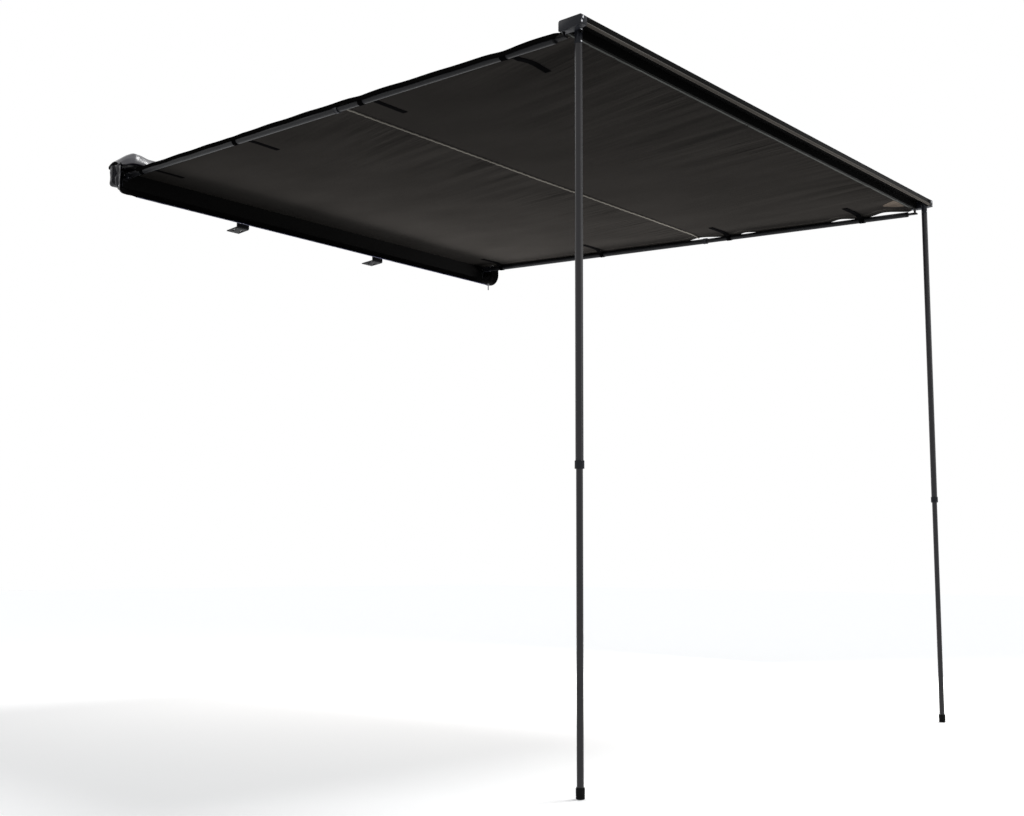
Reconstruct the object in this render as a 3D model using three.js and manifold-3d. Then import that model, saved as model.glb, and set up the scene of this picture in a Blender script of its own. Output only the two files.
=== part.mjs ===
// A side awning for a vehicle: a canopy between a rear rail on the roof rack and a front rail on two legs.
// Millimetres, +Z up. The origin is at mid-length, on the rear rail's back face, level with the undersides
// of the roof-rack brackets. The canopy reaches out towards -Y, the vehicle stands at +Y, and the near end,
// seen from the open side, is at -X. Depths run from the rear rail's back face towards -Y.
import * as THREE from 'three';
import { mergeVertices } from 'three/addons/utils/BufferGeometryUtils.js';
import Module from 'manifold-3d';

const wasm = await Module();
wasm.setup();

// Driving dimensions
const awningLength = 2000;
const awningReach = 2437;
const bracketFootHeight = 2000;
const frontRailTopHeight = 1908;
const fitGap = 0.3;
const cutOverrun = 2;
const weldDistance = 0.0003;

// Facets on tubes, on pins and holes, and along an arc
const barSides = 18;
const pinSides = 12;
const arcSteps = 7;

// Rear rail
const rearRailDepth = 22;
const rearRailHeight = 78;
const rearRailBottom = 32;
const rearRailWall = 2.2;
const endPlateThickness = 2.7;
const endPlateCorner = 4;
const tSlotWidth = 8.8;
const tSlotLip = 2.5;
const tSlotCavityWidth = 15;
const tSlotCavityDepth = 6.5;
const weltRadius = 3.2;
const weltGrooveRadius = 3.6;
const weltSlotWidth = 3;
const weltInset = 5;
const weltFromEdge = 6;

// Roof-rack brackets and their bolts
const bracketXs = { near: -430, far: 315 };
const bracketWidth = 60;
const bracketThickness = 4;
const bracketHeight = 98;
const bracketFootLength = 84;
const bracketBendRadius = 6;
const footSlotLength = 26;
const footSlotWidth = 9;
const footSlotSpacing = 34;
const bracketBoltRadius = 4;
const bracketBoltReach = 15;
const bracketBoltHeadWidth = 13;
const bracketBoltHeadThickness = 5;
const bracketNutWidth = 13;
const bracketNutThickness = 6.5;

// Rafter hinges: bracket, tilt pin, block, swing pin and knuckle
const rafterInset = 10;
const tiltPinDepth = 38;
const tiltPinHeight = 82;
const hingePlateThickness = 4;
const hingePlateHeight = 35;
const hingeEarThickness = 2.5;
const hingeEarRadius = 10;
const hingeBlockWidth = 16;
const hingeBlockHeight = 20;
const hingePinRadius = 3;
const pinHeadRadius = 5;
const pinHeadThickness = 2;
const pinEndRadius = 4.2;
const pinEndThickness = 1.2;
const swingPivotSteps = { near: 20, far: 46 };
const knuckleTongueThickness = 12;
const knuckleSwingRoom = 1;
const rafterKnuckleNeck = 14;
const rafterKnuckleShoulder = 6;
const knucklePlugLength = 32;

// Rafters
const rafterOuterRadius = 11;
const rafterInnerRadius = 9.5;
const tubeWall = 1.2;
const rafterLockDepth = 1430;
const rafterLockRadius = 12.5;
const lockLipLength = 6;
const rafterLockLength = 18;
const tubeOverlap = 120;
const rafterTipDepth = awningReach - 97;
const rafterTipHead = 4;
const tipTongueWidth = 16;
const tipTongueThickness = 5;
const tipTongueEndDepth = awningReach - 58;
const tipPinRadius = 4;
const tipPinDepth = awningReach - 66;
const tipPinRoom = 2.5;
const railOverRafter = 14;

// Front rail, a channel that is open below and takes the folded legs
const frontRailDepth = 76;
const frontRailWall = 2.2;
const frontRailTopRise = 5;
const frontLipHeight = 24;
const frontBeadHeight = 9;
const frontBeadBulge = 2;
const channelInnerFace = 53;
const channelInnerHeight = 26;
const frontWeltDepth = 60;
const frontWeltDrop = 19.5;
const frontWeltWall = 1.8;
const rearLipDrop = 7;
const endCapLength = 24;
const endCapRearHeight = 23;
const endCapMidHeight = 26;
const endCapMidDepth = 45;
const endCapFrontHeight = 24.5;
const endCapEdge = 1.2;
const endCapCorner = 6;
const endCapSocketDepth = 12;

// Legs
const legInset = 37;
const legPivotDrop = 15;
const legDepths = { near: 40, far: 17 };
const legUpperRadius = 10;
const legLowerRadius = 8.5;
const legEarThickness = 3;
const legEarRadius = 10;
const legBracketTop = 2;
const legTongueRadius = 9;
const legKnuckleNeck = 14;
const legKnuckleLength = 40;
const legPlugLength = 35;
const legLockHeight = 785;
const legLockRadius = 12;
const legLockLength = 20;
const legOverlap = 110;
const footRadius = 11;
const footHeight = 27;
const footSole = 5;
const footEdge = 1.5;

// Canopy
const canopySideGap = 28;
const canopyThickness = 1.2;
const canopySag = 4;
const canopyEdgeBow = 12;
const weltEndThickness = 0.6;

// Straps round the rafters
const strapDepths = { first: 175, second: 845, third: 1550, fourth: awningReach - 277 };
const strapWidth = 22;
const strapThickness = 1.4;
const strapTailLength = 100;
const strapBendShare = 0.72;

// Bag: lower flap with its end pockets, zip and folded-back top flap
const bagHalfLength = 1045;
const bagSheetThickness = 2.4;
const bagPocketRadius = 60;
const bagPocketTop = 104;
const bagPocketFrontTop = 70;
const bagEdgeDepth = 93;
const bagEdgeDrop = 12;
const bagBellyDepth = 45;
const bagBellyHeight = 18;
const zipTrackHalfLength = 975;
const zipTrackDepth = 4;
const zipTrackHeight = 3;
const zipSliderLength = 14;
const zipSliderDepth = 8;
const zipSliderHeight = 8;
const zipSliderFromEnd = 13;
const zipPullLength = 28;
const zipPullWidth = 6;
const zipPullThickness = 2;
const topFlapCentreDepth = 14;
const topFlapHalfDepth = 62;
const topFlapHeight = 34;
const topFlapEndRise = 16;
const topFlapRipple = 5;
const topFlapFold = 4;
const topFlapRoundness = 0.7;
const topFlapRestGap = 0.5;
const topFlapRipples = 2.5;
const topFlapFolds = 2;
const topFlapTwists = 1.5;
const topFlapEndPower = 4;

// Places worked out from the sizes above
const groundHeight = -bracketFootHeight;
const frontTop = frontRailTopHeight - bracketFootHeight;
const rearRailTop = rearRailBottom + rearRailHeight;
const rearRailMiddle = rearRailBottom + rearRailHeight / 2;
const rearRailHalf = awningLength / 2 - endPlateThickness - fitGap;
const rafterX = awningLength / 2 - rafterInset;
const canopyRearHeight = rearRailTop - weltFromEdge;
const canopyRearDepth = rearRailDepth - weltInset;
const canopyFrontHeight = frontTop - frontWeltDrop;
const canopyFrontDepth = awningReach - frontWeltDepth;
const capRearDepth = awningReach - frontRailDepth;
const capRearBottom = frontTop - endCapRearHeight;
// The rafters run at a steady distance under the end caps' rear edges, so that the front rail can pass over.
const capRun = capRearDepth - tiltPinDepth;
const capFall = tiltPinHeight - capRearBottom;
const slope = Math.atan2(capFall, capRun) + Math.asin(railOverRafter / Math.hypot(capRun, capFall));
const alongSlope = (depth) => (depth - tiltPinDepth) / Math.cos(slope);

// Finishes
const finish = (color, roughness, metalness) => ({ color, roughness, metalness });
const blackMetal = finish(0x1c1c1e, 0.38, 0.6);
const blackPlastic = finish(0x17181a, 0.5, 0);
const zincSteel = finish(0xa8aaac, 0.35, 0.9);
const blackRubber = finish(0x121212, 0.8, 0);
const canopyCloth = finish(0x353433, 0.8, 0);
const blackWebbing = finish(0x101010, 0.9, 0);
const bagVinyl = finish(0x151417, 0.35, 0);
const zipCoil = finish(0x1b1b2a, 0.6, 0);

const model = new THREE.Group();

function place(parent, name, geometry, look) {
  const mesh = new THREE.Mesh(geometry, new THREE.MeshStandardMaterial(look));
  mesh.name = name;
  parent.add(mesh);
  return mesh;
}

// Solid operations on closed geometries
function toSolid(geometry) {
  const bare = geometry.clone();
  bare.deleteAttribute('normal');
  bare.deleteAttribute('uv');
  const merged = mergeVertices(bare, weldDistance);
  return new wasm.Manifold(new wasm.Mesh({
    numProp: 3,
    vertProperties: new Float32Array(merged.attributes.position.array),
    triVerts: new Uint32Array(merged.index.array),
  }));
}

function toGeometry(solid) {
  const mesh = solid.getMesh();
  const geometry = new THREE.BufferGeometry();
  geometry.setAttribute('position', new THREE.BufferAttribute(new Float32Array(mesh.vertProperties), 3));
  geometry.setIndex(new THREE.BufferAttribute(new Uint32Array(mesh.triVerts), 1));
  geometry.computeVertexNormals();
  return geometry;
}

const cut = (body, ...tools) => toGeometry(
  tools.reduce((solid, tool) => solid.subtract(toSolid(tool)), toSolid(body)));
const join = (body, ...others) => toGeometry(
  others.reduce((solid, other) => solid.add(toSolid(other)), toSolid(body)));
const overlapOf = (one, other) => toGeometry(toSolid(one).intersect(toSolid(other)));

// Boxes from ranges, and round bars along an axis
function block(x, y, z) {
  const box = new THREE.BoxGeometry(x[1] - x[0], y[1] - y[0], z[1] - z[0]);
  return box.translate((x[0] + x[1]) / 2, (y[0] + y[1]) / 2, (z[0] + z[1]) / 2);
}

function turned(profile, sides = barSides) {
  // A profile of [radius, height] pairs, turned about Z.
  const points = profile.map(([r, h]) => new THREE.Vector2(r, h));
  return new THREE.LatheGeometry(points, sides).rotateX(Math.PI / 2);
}

function bar(radius, from, to, sides = barSides) {
  return turned([[0, from], [radius, from], [radius, to], [0, to]], sides);
}

function pipe(outer, inner, from, to, sides = barSides) {
  return turned([[inner, from], [outer, from], [outer, to], [inner, to], [inner, from]], sides);
}

function mirroredX(geometry) {
  geometry.scale(-1, 1, 1);
  geometry.index.array.reverse();
  geometry.computeVertexNormals();
  return geometry;
}

const alongX = (geometry) => geometry.rotateY(Math.PI / 2);
const alongRun = (geometry) => geometry.rotateX(Math.PI / 2);

function extrudedX(points, from, to) {
  // An outline of [y, z] pairs, extruded along X.
  const shape = new THREE.Shape(points.map(([y, z]) => new THREE.Vector2(y, z)));
  const solid = new THREE.ExtrudeGeometry(shape, { depth: to - from, bevelEnabled: false });
  return solid.rotateX(Math.PI / 2).rotateZ(Math.PI / 2).translate(from, 0, 0);
}

function arc(centreA, centreB, radius, fromAngle, toAngle, steps) {
  return Array.from({ length: steps + 1 }, (_, i) => {
    const angle = fromAngle + (toAngle - fromAngle) * i / steps;
    return [centreA + radius * Math.cos(angle), centreB + radius * Math.sin(angle)];
  });
}

// A headed pin about Z: head on top, a peened end below, both just clear of what the pin holds.
function headedPin(halfGrip) {
  const grip = halfGrip + fitGap;
  return turned([
    [0, -grip - pinEndThickness], [pinEndRadius, -grip - pinEndThickness], [pinEndRadius, -grip],
    [hingePinRadius, -grip], [hingePinRadius, grip], [pinHeadRadius, grip],
    [pinHeadRadius, grip + pinHeadThickness], [0, grip + pinHeadThickness],
  ], pinSides);
}

// Rear rail: a hollow section with a T-slot at the back and a welt groove at the top and the bottom
function rearRail() {
  const half = rearRailHalf;
  const body = block([-half, half], [-rearRailDepth, 0], [rearRailBottom, rearRailTop]);
  const ends = [-half - cutOverrun, half + cutOverrun];
  const slot = block(ends, [-tSlotLip - cutOverrun, cutOverrun],
    [rearRailMiddle - tSlotWidth / 2, rearRailMiddle + tSlotWidth / 2]);
  const cavity = block(ends, [-tSlotLip - tSlotCavityDepth, -tSlotLip],
    [rearRailMiddle - tSlotCavityWidth / 2, rearRailMiddle + tSlotCavityWidth / 2]);
  const grooves = [canopyRearHeight, rearRailBottom + weltFromEdge].flatMap((height) => [
    alongX(bar(weltGrooveRadius, ends[0], ends[1], pinSides)).translate(0, -canopyRearDepth, height),
    block(ends, [-rearRailDepth - cutOverrun, -canopyRearDepth],
      [height - weltSlotWidth / 2, height + weltSlotWidth / 2]),
  ]);
  const hollowFront = -rearRailDepth + rearRailWall;
  const hollowBack = -tSlotLip - tSlotCavityDepth - rearRailWall;
  const hollowEnd = weltFromEdge + weltGrooveRadius + rearRailWall;
  const hollow = block(ends, [hollowFront, hollowBack],
    [rearRailBottom + hollowEnd, rearRailTop - hollowEnd]);
  place(model, 'rear_rail', cut(body, slot, cavity, hollow, ...grooves), blackMetal);
}

function roundedPlate(halfDepth, halfHeight, corner, thickness) {
  const corners = [[1, 1, 0], [-1, 1, 1], [-1, -1, 2], [1, -1, 3]];
  const outline = corners.flatMap(([a, b, quarter]) => arc(
    a * (halfDepth - corner), b * (halfHeight - corner), corner,
    quarter * Math.PI / 2, (quarter + 1) * Math.PI / 2, 4));
  return extrudedX(outline, 0, thickness);
}

function endPlates() {
  for (const [end, side] of [['near', -1], ['far', 1]]) {
    const plate = roundedPlate(rearRailDepth / 2, rearRailHeight / 2, endPlateCorner, endPlateThickness);
    const x = side < 0 ? -awningLength / 2 : awningLength / 2 - endPlateThickness;
    place(model, `rear_end_plate_${end}`, plate, blackPlastic)
      .position.set(x, -rearRailDepth / 2, rearRailMiddle);
  }
}

// Roof-rack bracket: an angle whose upright leg is bolted to the T-slot and whose foot lies on the rack bar
function roofBrackets() {
  const out = bracketThickness + fitGap;
  const centre = fitGap + bracketBendRadius;
  const bend = arc(centre, bracketBendRadius, bracketBendRadius, Math.PI, Math.PI * 1.5, 5);
  for (const [end, x] of Object.entries(bracketXs)) {
    const outline = [
      [fitGap, bracketHeight], [fitGap, bracketBendRadius], ...bend.slice(1),
      [bracketFootLength, 0], [bracketFootLength, bracketThickness], [out + fitGap, bracketThickness],
      [out, bracketThickness + fitGap], [out, bracketHeight],
    ];
    const half = bracketWidth / 2;
    const angle = extrudedX(outline, -half, half);
    const slotRadius = footSlotWidth / 2;
    const slotReach = footSlotLength / 2 - slotRadius;
    const slotCentre = (bracketFootLength + out) / 2;
    const slotEnd = (offset, y) => bar(slotRadius, -cutOverrun, bracketThickness + cutOverrun)
      .translate(offset, y, 0);
    const footSlots = [-footSlotSpacing / 2, footSlotSpacing / 2].flatMap((offset) => [
      block([offset - slotRadius, offset + slotRadius], [slotCentre - slotReach, slotCentre + slotReach],
        [-cutOverrun, bracketThickness + cutOverrun]),
      slotEnd(offset, slotCentre - slotReach),
      slotEnd(offset, slotCentre + slotReach),
    ]);
    const boltHole = alongRun(bar(bracketBoltRadius + fitGap, -out - cutOverrun, cutOverrun))
      .translate(0, 0, rearRailMiddle);
    place(model, `roof_bracket_${end}`, cut(angle, boltHole, ...footSlots), blackMetal).position.x = x;

    const headBack = -tSlotLip - fitGap;
    const headSide = [-bracketBoltHeadWidth / 2, bracketBoltHeadWidth / 2];
    const head = block(headSide, [headBack - bracketBoltHeadThickness, headBack], headSide);
    const shank = alongRun(bar(bracketBoltRadius, -bracketBoltReach, -headBack + fitGap));
    place(model, `bracket_bolt_${end}`, join(head, shank), zincSteel).position.set(x, 0, rearRailMiddle);

    const nutFrom = out + fitGap;
    const nutBody = alongRun(bar(bracketNutWidth / 2 / Math.cos(Math.PI / 6), -nutFrom - bracketNutThickness,
      -nutFrom, 6));
    const nutBore = alongRun(bar(bracketBoltRadius + fitGap, -nutFrom - bracketNutThickness - cutOverrun,
      cutOverrun - nutFrom));
    place(model, `bracket_nut_${end}`, cut(nutBody, nutBore), zincSteel).position.set(x, 0, rearRailMiddle);
  }
}

// Rafter hinge: the bracket and tilt pin stay on the rear rail
function hingeMounts() {
  const earInner = hingeBlockWidth / 2 + fitGap;
  const earOuter = earInner + hingeEarThickness;
  const plateFront = rearRailDepth + fitGap + hingePlateThickness;
  for (const [end, side] of [['near', -1], ['far', 1]]) {
    const plate = block([-earOuter, earOuter], [-plateFront, -rearRailDepth - fitGap],
      [tiltPinHeight - hingePlateHeight / 2, tiltPinHeight + hingePlateHeight / 2]);
    const earOutline = [
      ...arc(-tiltPinDepth, tiltPinHeight, hingeEarRadius, Math.PI / 2, Math.PI * 1.5, arcSteps),
      [-plateFront + fitGap, tiltPinHeight - hingeEarRadius],
      [-plateFront + fitGap, tiltPinHeight + hingeEarRadius],
    ];
    const ears = [extrudedX(earOutline, earInner, earOuter), extrudedX(earOutline, -earOuter, -earInner)];
    const hole = alongX(bar(hingePinRadius + fitGap, -earOuter - cutOverrun, earOuter + cutOverrun, pinSides))
      .translate(0, -tiltPinDepth, tiltPinHeight);
    place(model, `hinge_bracket_${end}`, cut(join(plate, ...ears), hole), blackMetal)
      .position.x = side * rafterX;
    place(model, `tilt_pin_${end}`, alongX(headedPin(earOuter)).rotateZ(side < 0 ? Math.PI : 0), zincSteel)
      .position.set(side * rafterX, -tiltPinDepth, tiltPinHeight);
  }
}

// Everything below is laid out along the slope: local -Y runs down the rafters, local Z is square to them.
const slopeFrame = new THREE.Group();
slopeFrame.position.set(0, -tiltPinDepth, tiltPinHeight);
slopeFrame.rotation.x = slope;
model.add(slopeFrame);

function hingeBlock(end, side) {
  const step = swingPivotSteps[end];
  const half = hingeBlockWidth / 2;
  const tall = hingeBlockHeight / 2;
  const sideView = extrudedX([
    ...arc(0, 0, tall, -Math.PI / 2, Math.PI / 2, arcSteps), [-step - half, tall], [-step - half, -tall],
  ], -half, half);
  const planShape = new THREE.Shape([
    [half, tall], [-half, tall], ...arc(0, -step, half, Math.PI, Math.PI * 2, arcSteps),
  ].map(([x, y]) => new THREE.Vector2(x, y)));
  const plan = new THREE.ExtrudeGeometry(planShape, { depth: hingeBlockHeight, bevelEnabled: false })
    .translate(0, 0, -tall);
  const tongueRoom = knuckleTongueThickness / 2 + fitGap;
  const slot = block([-half - cutOverrun, half + cutOverrun],
    [-step - half - cutOverrun, half + knuckleSwingRoom - step], [-tongueRoom, tongueRoom]);
  const swingHole = bar(hingePinRadius + fitGap, -tall - cutOverrun, tall + cutOverrun, pinSides)
    .translate(0, -step, 0);
  const tiltHole = alongX(bar(hingePinRadius + fitGap, -half - cutOverrun, half + cutOverrun, pinSides));
  const body = cut(overlapOf(plan, sideView), slot, swingHole, tiltHole);
  place(slopeFrame, `hinge_block_${end}`, body, blackPlastic).position.x = side * rafterX;
  place(slopeFrame, `swing_pin_${end}`, headedPin(tall), zincSteel).position.set(side * rafterX, -step, 0);
}

function rafterKnuckle(end, side) {
  const step = swingPivotSteps[end];
  const half = hingeBlockWidth / 2;
  const thick = knuckleTongueThickness / 2;
  const neck = rafterKnuckleNeck + fitGap;
  const outline = [...arc(0, 0, half, 0, Math.PI, arcSteps), [-half, -neck], [half, -neck]];
  const tongueShape = new THREE.Shape(outline.map(([x, y]) => new THREE.Vector2(x, y)));
  const grip = { depth: knuckleTongueThickness, bevelEnabled: false };
  const tongue = new THREE.ExtrudeGeometry(tongueShape, grip).translate(0, 0, -thick);
  const shoulderEnd = rafterKnuckleNeck + rafterKnuckleShoulder;
  const plug = rafterOuterRadius - tubeWall - fitGap;
  const stem = alongRun(turned([
    [0, rafterKnuckleNeck], [rafterOuterRadius, rafterKnuckleNeck], [rafterOuterRadius, shoulderEnd],
    [plug, shoulderEnd], [plug, shoulderEnd + knucklePlugLength], [0, shoulderEnd + knucklePlugLength],
  ]));
  const hole = bar(hingePinRadius + fitGap, -thick - cutOverrun, thick + cutOverrun, pinSides);
  place(slopeFrame, `rafter_knuckle_${end}`, cut(join(tongue, stem), hole), blackPlastic)
    .position.set(side * rafterX, -step, 0);
}

// Lock collar: a sleeve over the outer tube's end, with a lip that grips the inner tube
function lockCollar(outer, overTube, overInner, length) {
  const lip = lockLipLength + fitGap;
  return turned([
    [overTube + fitGap, lockLipLength - length], [outer, lockLipLength - length], [outer, lip],
    [overInner + fitGap, lip], [overInner + fitGap, fitGap], [overTube + fitGap, fitGap],
    [overTube + fitGap, lockLipLength - length],
  ]);
}

function rafterTubes(end, side) {
  const x = side * rafterX;
  const start = swingPivotSteps[end] + rafterKnuckleNeck + rafterKnuckleShoulder + fitGap;
  const lock = alongSlope(rafterLockDepth);
  const tip = alongSlope(rafterTipDepth);
  const outer = alongRun(pipe(rafterOuterRadius, rafterOuterRadius - tubeWall, start, lock));
  place(slopeFrame, `rafter_outer_tube_${end}`, outer, blackMetal).position.x = x;
  const collar = alongRun(
    lockCollar(rafterLockRadius, rafterOuterRadius, rafterInnerRadius, rafterLockLength));
  place(slopeFrame, `rafter_lock_collar_${end}`, collar, blackPlastic).position.set(x, -lock, 0);
  const inner = alongRun(pipe(rafterInnerRadius, rafterInnerRadius - tubeWall, lock - tubeOverlap, tip));
  place(slopeFrame, `rafter_inner_tube_${end}`, inner, blackMetal).position.x = x;
}

// Tip fitting: a plug in the inner tube, a flat tongue and an upright pin under the end cap's socket
function rafterTip(end, side) {
  const tip = alongSlope(rafterTipDepth) + fitGap;
  const head = tip + rafterTipHead;
  const plug = rafterInnerRadius - tubeWall - fitGap;
  const stem = alongRun(turned([
    [0, tip - knucklePlugLength], [plug, tip - knucklePlugLength], [plug, tip], [rafterInnerRadius, tip],
    [rafterInnerRadius, head], [0, head],
  ]));
  const half = tipTongueWidth / 2;
  const tongue = block([-half, half], [-alongSlope(tipTongueEndDepth), fitGap - head],
    [-tipTongueThickness / 2, tipTongueThickness / 2]);
  const pin = bar(tipPinRadius, 0, railOverRafter - tipPinRoom, pinSides)
    .translate(0, -alongSlope(tipPinDepth), 0);
  place(slopeFrame, `rafter_tip_${end}`, join(stem, tongue, pin), zincSteel).position.x = side * rafterX;
}

// Front rail frame: local +Y runs from the outer face to the vehicle, and local Z is zero at its top edge.
const frontFrame = new THREE.Group();
frontFrame.position.set(0, -awningReach, frontTop);
model.add(frontFrame);

const topRiseAt = (depth) => frontRailTopRise * depth / frontRailDepth;
const underTopAt = (depth) => topRiseAt(depth) - frontRailWall;
const frontRailHalf = awningLength / 2 - endCapLength;

function frontRail() {
  const wallOut = frontBeadBulge;
  const wallIn = frontBeadBulge + frontRailWall;
  const beadHalf = frontBeadHeight / 2;
  const beadRadius = (beadHalf ** 2 + frontBeadBulge ** 2) / (2 * frontBeadBulge);
  const beadAngle = Math.asin(beadHalf / beadRadius);
  const bead = arc(beadRadius, beadHalf - frontLipHeight, beadRadius,
    Math.PI - beadAngle, Math.PI + beadAngle, 8);
  const innerBack = channelInnerFace + frontRailWall;
  const lipFront = frontRailDepth - frontRailWall;
  const outline = [
    [wallOut, topRiseAt(wallOut)], ...bead, [wallIn, -frontLipHeight], [wallIn, underTopAt(wallIn)],
    [channelInnerFace, underTopAt(channelInnerFace)], [channelInnerFace, -channelInnerHeight],
    [innerBack, -channelInnerHeight], [innerBack, underTopAt(innerBack)],
    [lipFront, underTopAt(lipFront)], [lipFront, -rearLipDrop],
    [frontRailDepth, -rearLipDrop], [frontRailDepth, frontRailTopRise],
  ];
  const ends = [-frontRailHalf - cutOverrun, frontRailHalf + cutOverrun];
  const section = extrudedX(outline, -frontRailHalf, frontRailHalf);
  const sleeve = alongX(bar(weltGrooveRadius + frontWeltWall, -frontRailHalf, frontRailHalf, pinSides))
    .translate(0, frontWeltDepth, -frontWeltDrop);
  const bore = alongX(bar(weltGrooveRadius, ends[0], ends[1], pinSides))
    .translate(0, frontWeltDepth, -frontWeltDrop);
  const slot = block(ends, [frontWeltDepth, frontWeltDepth + weltGrooveRadius + frontWeltWall + cutOverrun],
    [-frontWeltDrop - weltSlotWidth / 2, weltSlotWidth / 2 - frontWeltDrop]);
  place(frontFrame, 'front_rail', cut(join(section, sleeve), bore, slot), blackMetal);
}

function endCaps() {
  const outline = [
    [0, endCapEdge - endCapFrontHeight], [endCapEdge, -endCapFrontHeight], [endCapMidDepth, -endCapMidHeight],
    [frontRailDepth - endCapEdge, -endCapRearHeight], [frontRailDepth, endCapEdge - endCapRearHeight],
    ...arc(frontRailDepth - endCapCorner, frontRailTopRise - endCapCorner, endCapCorner, 0, Math.PI / 2, 4),
    [endCapEdge, 0], [0, -endCapEdge],
  ];
  const shape = new THREE.Shape(outline.map(([y, z]) => new THREE.Vector2(y, z)));
  for (const [end, side] of [['near', -1], ['far', 1]]) {
    const cap = new THREE.ExtrudeGeometry(shape, {
      depth: endCapLength - endCapEdge - fitGap, bevelThickness: endCapEdge, bevelSize: endCapEdge,
      bevelOffset: -endCapEdge, bevelSegments: 2,
    }).rotateX(Math.PI / 2).rotateZ(Math.PI / 2);
    // The bevel on the inner face is trimmed flat where the cap meets the rail.
    const inner = block([-endCapEdge - cutOverrun, 0], [-cutOverrun, frontRailDepth + cutOverrun],
      [-endCapMidHeight - cutOverrun, frontRailTopRise + cutOverrun]);
    const socketDepth = awningReach - tipPinDepth;
    const socketX = endCapLength - fitGap - rafterInset;
    const socket = bar(tipPinRadius + fitGap * 2, -endCapMidHeight - cutOverrun,
      endCapSocketDepth - endCapRearHeight, pinSides).translate(socketX, socketDepth, 0);
    const body = side < 0 ? mirroredX(cut(cap, inner, socket)) : cut(cap, inner, socket);
    place(frontFrame, `end_cap_${end}`, body, blackPlastic).position.x = side * (frontRailHalf + fitGap);
  }
}

// Leg pivot: a bracket under the rail's top wall, its pin and the leg's knuckle
const legX = awningLength / 2 - legInset;

function legPivot(end, side) {
  const depth = legDepths[end];
  const tongueHalf = knuckleTongueThickness / 2;
  const earInner = tongueHalf + fitGap;
  const earOuter = earInner + legEarThickness;
  const plateTop = legPivotDrop + underTopAt(depth - earOuter) - fitGap;
  const plate = block([-legEarRadius, legEarRadius], [-earOuter, earOuter],
    [plateTop - legBracketTop, plateTop]);
  const earShape = new THREE.Shape([
    ...arc(0, 0, legEarRadius, Math.PI, Math.PI * 2, arcSteps),
    [legEarRadius, plateTop - legBracketTop / 2], [-legEarRadius, plateTop - legBracketTop / 2],
  ].map(([x, z]) => new THREE.Vector2(x, z)));
  const earGrip = { depth: legEarThickness, bevelEnabled: false };
  const ear = (from) => new THREE.ExtrudeGeometry(earShape, earGrip)
    .rotateX(Math.PI / 2).translate(0, from + legEarThickness, 0);
  const hole = alongRun(
    bar(hingePinRadius + fitGap, -earOuter - cutOverrun, earOuter + cutOverrun, pinSides));
  const frame = new THREE.Group();
  frame.position.set(side * legX, depth, -legPivotDrop);
  frontFrame.add(frame);
  place(frame, `leg_bracket_${end}`, cut(join(plate, ear(earInner), ear(-earOuter)), hole), blackMetal);
  place(frame, `leg_pivot_pin_${end}`, alongRun(headedPin(earOuter)), zincSteel);
  return frame;
}

function legKnuckle(end, frame) {
  const tongueHalf = knuckleTongueThickness / 2;
  const neck = legKnuckleNeck + fitGap;
  const tongueShape = new THREE.Shape([
    ...arc(0, 0, legTongueRadius, 0, Math.PI, arcSteps), [-legTongueRadius, -neck], [legTongueRadius, -neck],
  ].map(([x, z]) => new THREE.Vector2(x, z)));
  const grip = { depth: knuckleTongueThickness, bevelEnabled: false };
  const tongue = new THREE.ExtrudeGeometry(tongueShape, grip)
    .rotateX(Math.PI / 2).translate(0, tongueHalf, 0);
  const plug = legUpperRadius - tubeWall - fitGap;
  const plugEnd = legKnuckleLength + legPlugLength;
  const stem = turned([
    [0, -plugEnd], [plug, -plugEnd], [plug, -legKnuckleLength], [legUpperRadius, -legKnuckleLength],
    [legUpperRadius, -legKnuckleNeck], [0, -legKnuckleNeck],
  ]);
  const hole = alongRun(
    bar(hingePinRadius + fitGap, -tongueHalf - cutOverrun, tongueHalf + cutOverrun, pinSides));
  place(frame, `leg_knuckle_${end}`, cut(join(tongue, stem), hole), blackPlastic);
}

function legTubes(end, frame) {
  const pivotHeight = frontTop - legPivotDrop - groundHeight;
  const lock = pivotHeight - legLockHeight;
  const tubeTop = legKnuckleLength + fitGap;
  const upper = pipe(legUpperRadius, legUpperRadius - tubeWall, -lock, -tubeTop);
  place(frame, `leg_upper_tube_${end}`, upper, blackMetal);
  const collar = lockCollar(legLockRadius, legUpperRadius, legLowerRadius, legLockLength).rotateX(Math.PI);
  place(frame, `leg_lock_collar_${end}`, collar, blackPlastic).position.z = -lock;
  const bottom = pivotHeight - footSole - fitGap;
  const lower = pipe(legLowerRadius, legLowerRadius - tubeWall, -bottom, legOverlap - lock);
  place(frame, `leg_lower_tube_${end}`, lower, blackMetal);
  const bore = legLowerRadius + fitGap;
  const foot = turned([
    [0, 0], [footRadius - footEdge, 0], [footRadius, footEdge], [footRadius, footHeight - footEdge],
    [footRadius - footEdge, footHeight], [bore, footHeight], [bore, footSole], [0, footSole],
  ]);
  place(frame, `leg_foot_${end}`, foot, blackRubber).position.z = -pivotHeight;
}

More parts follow.
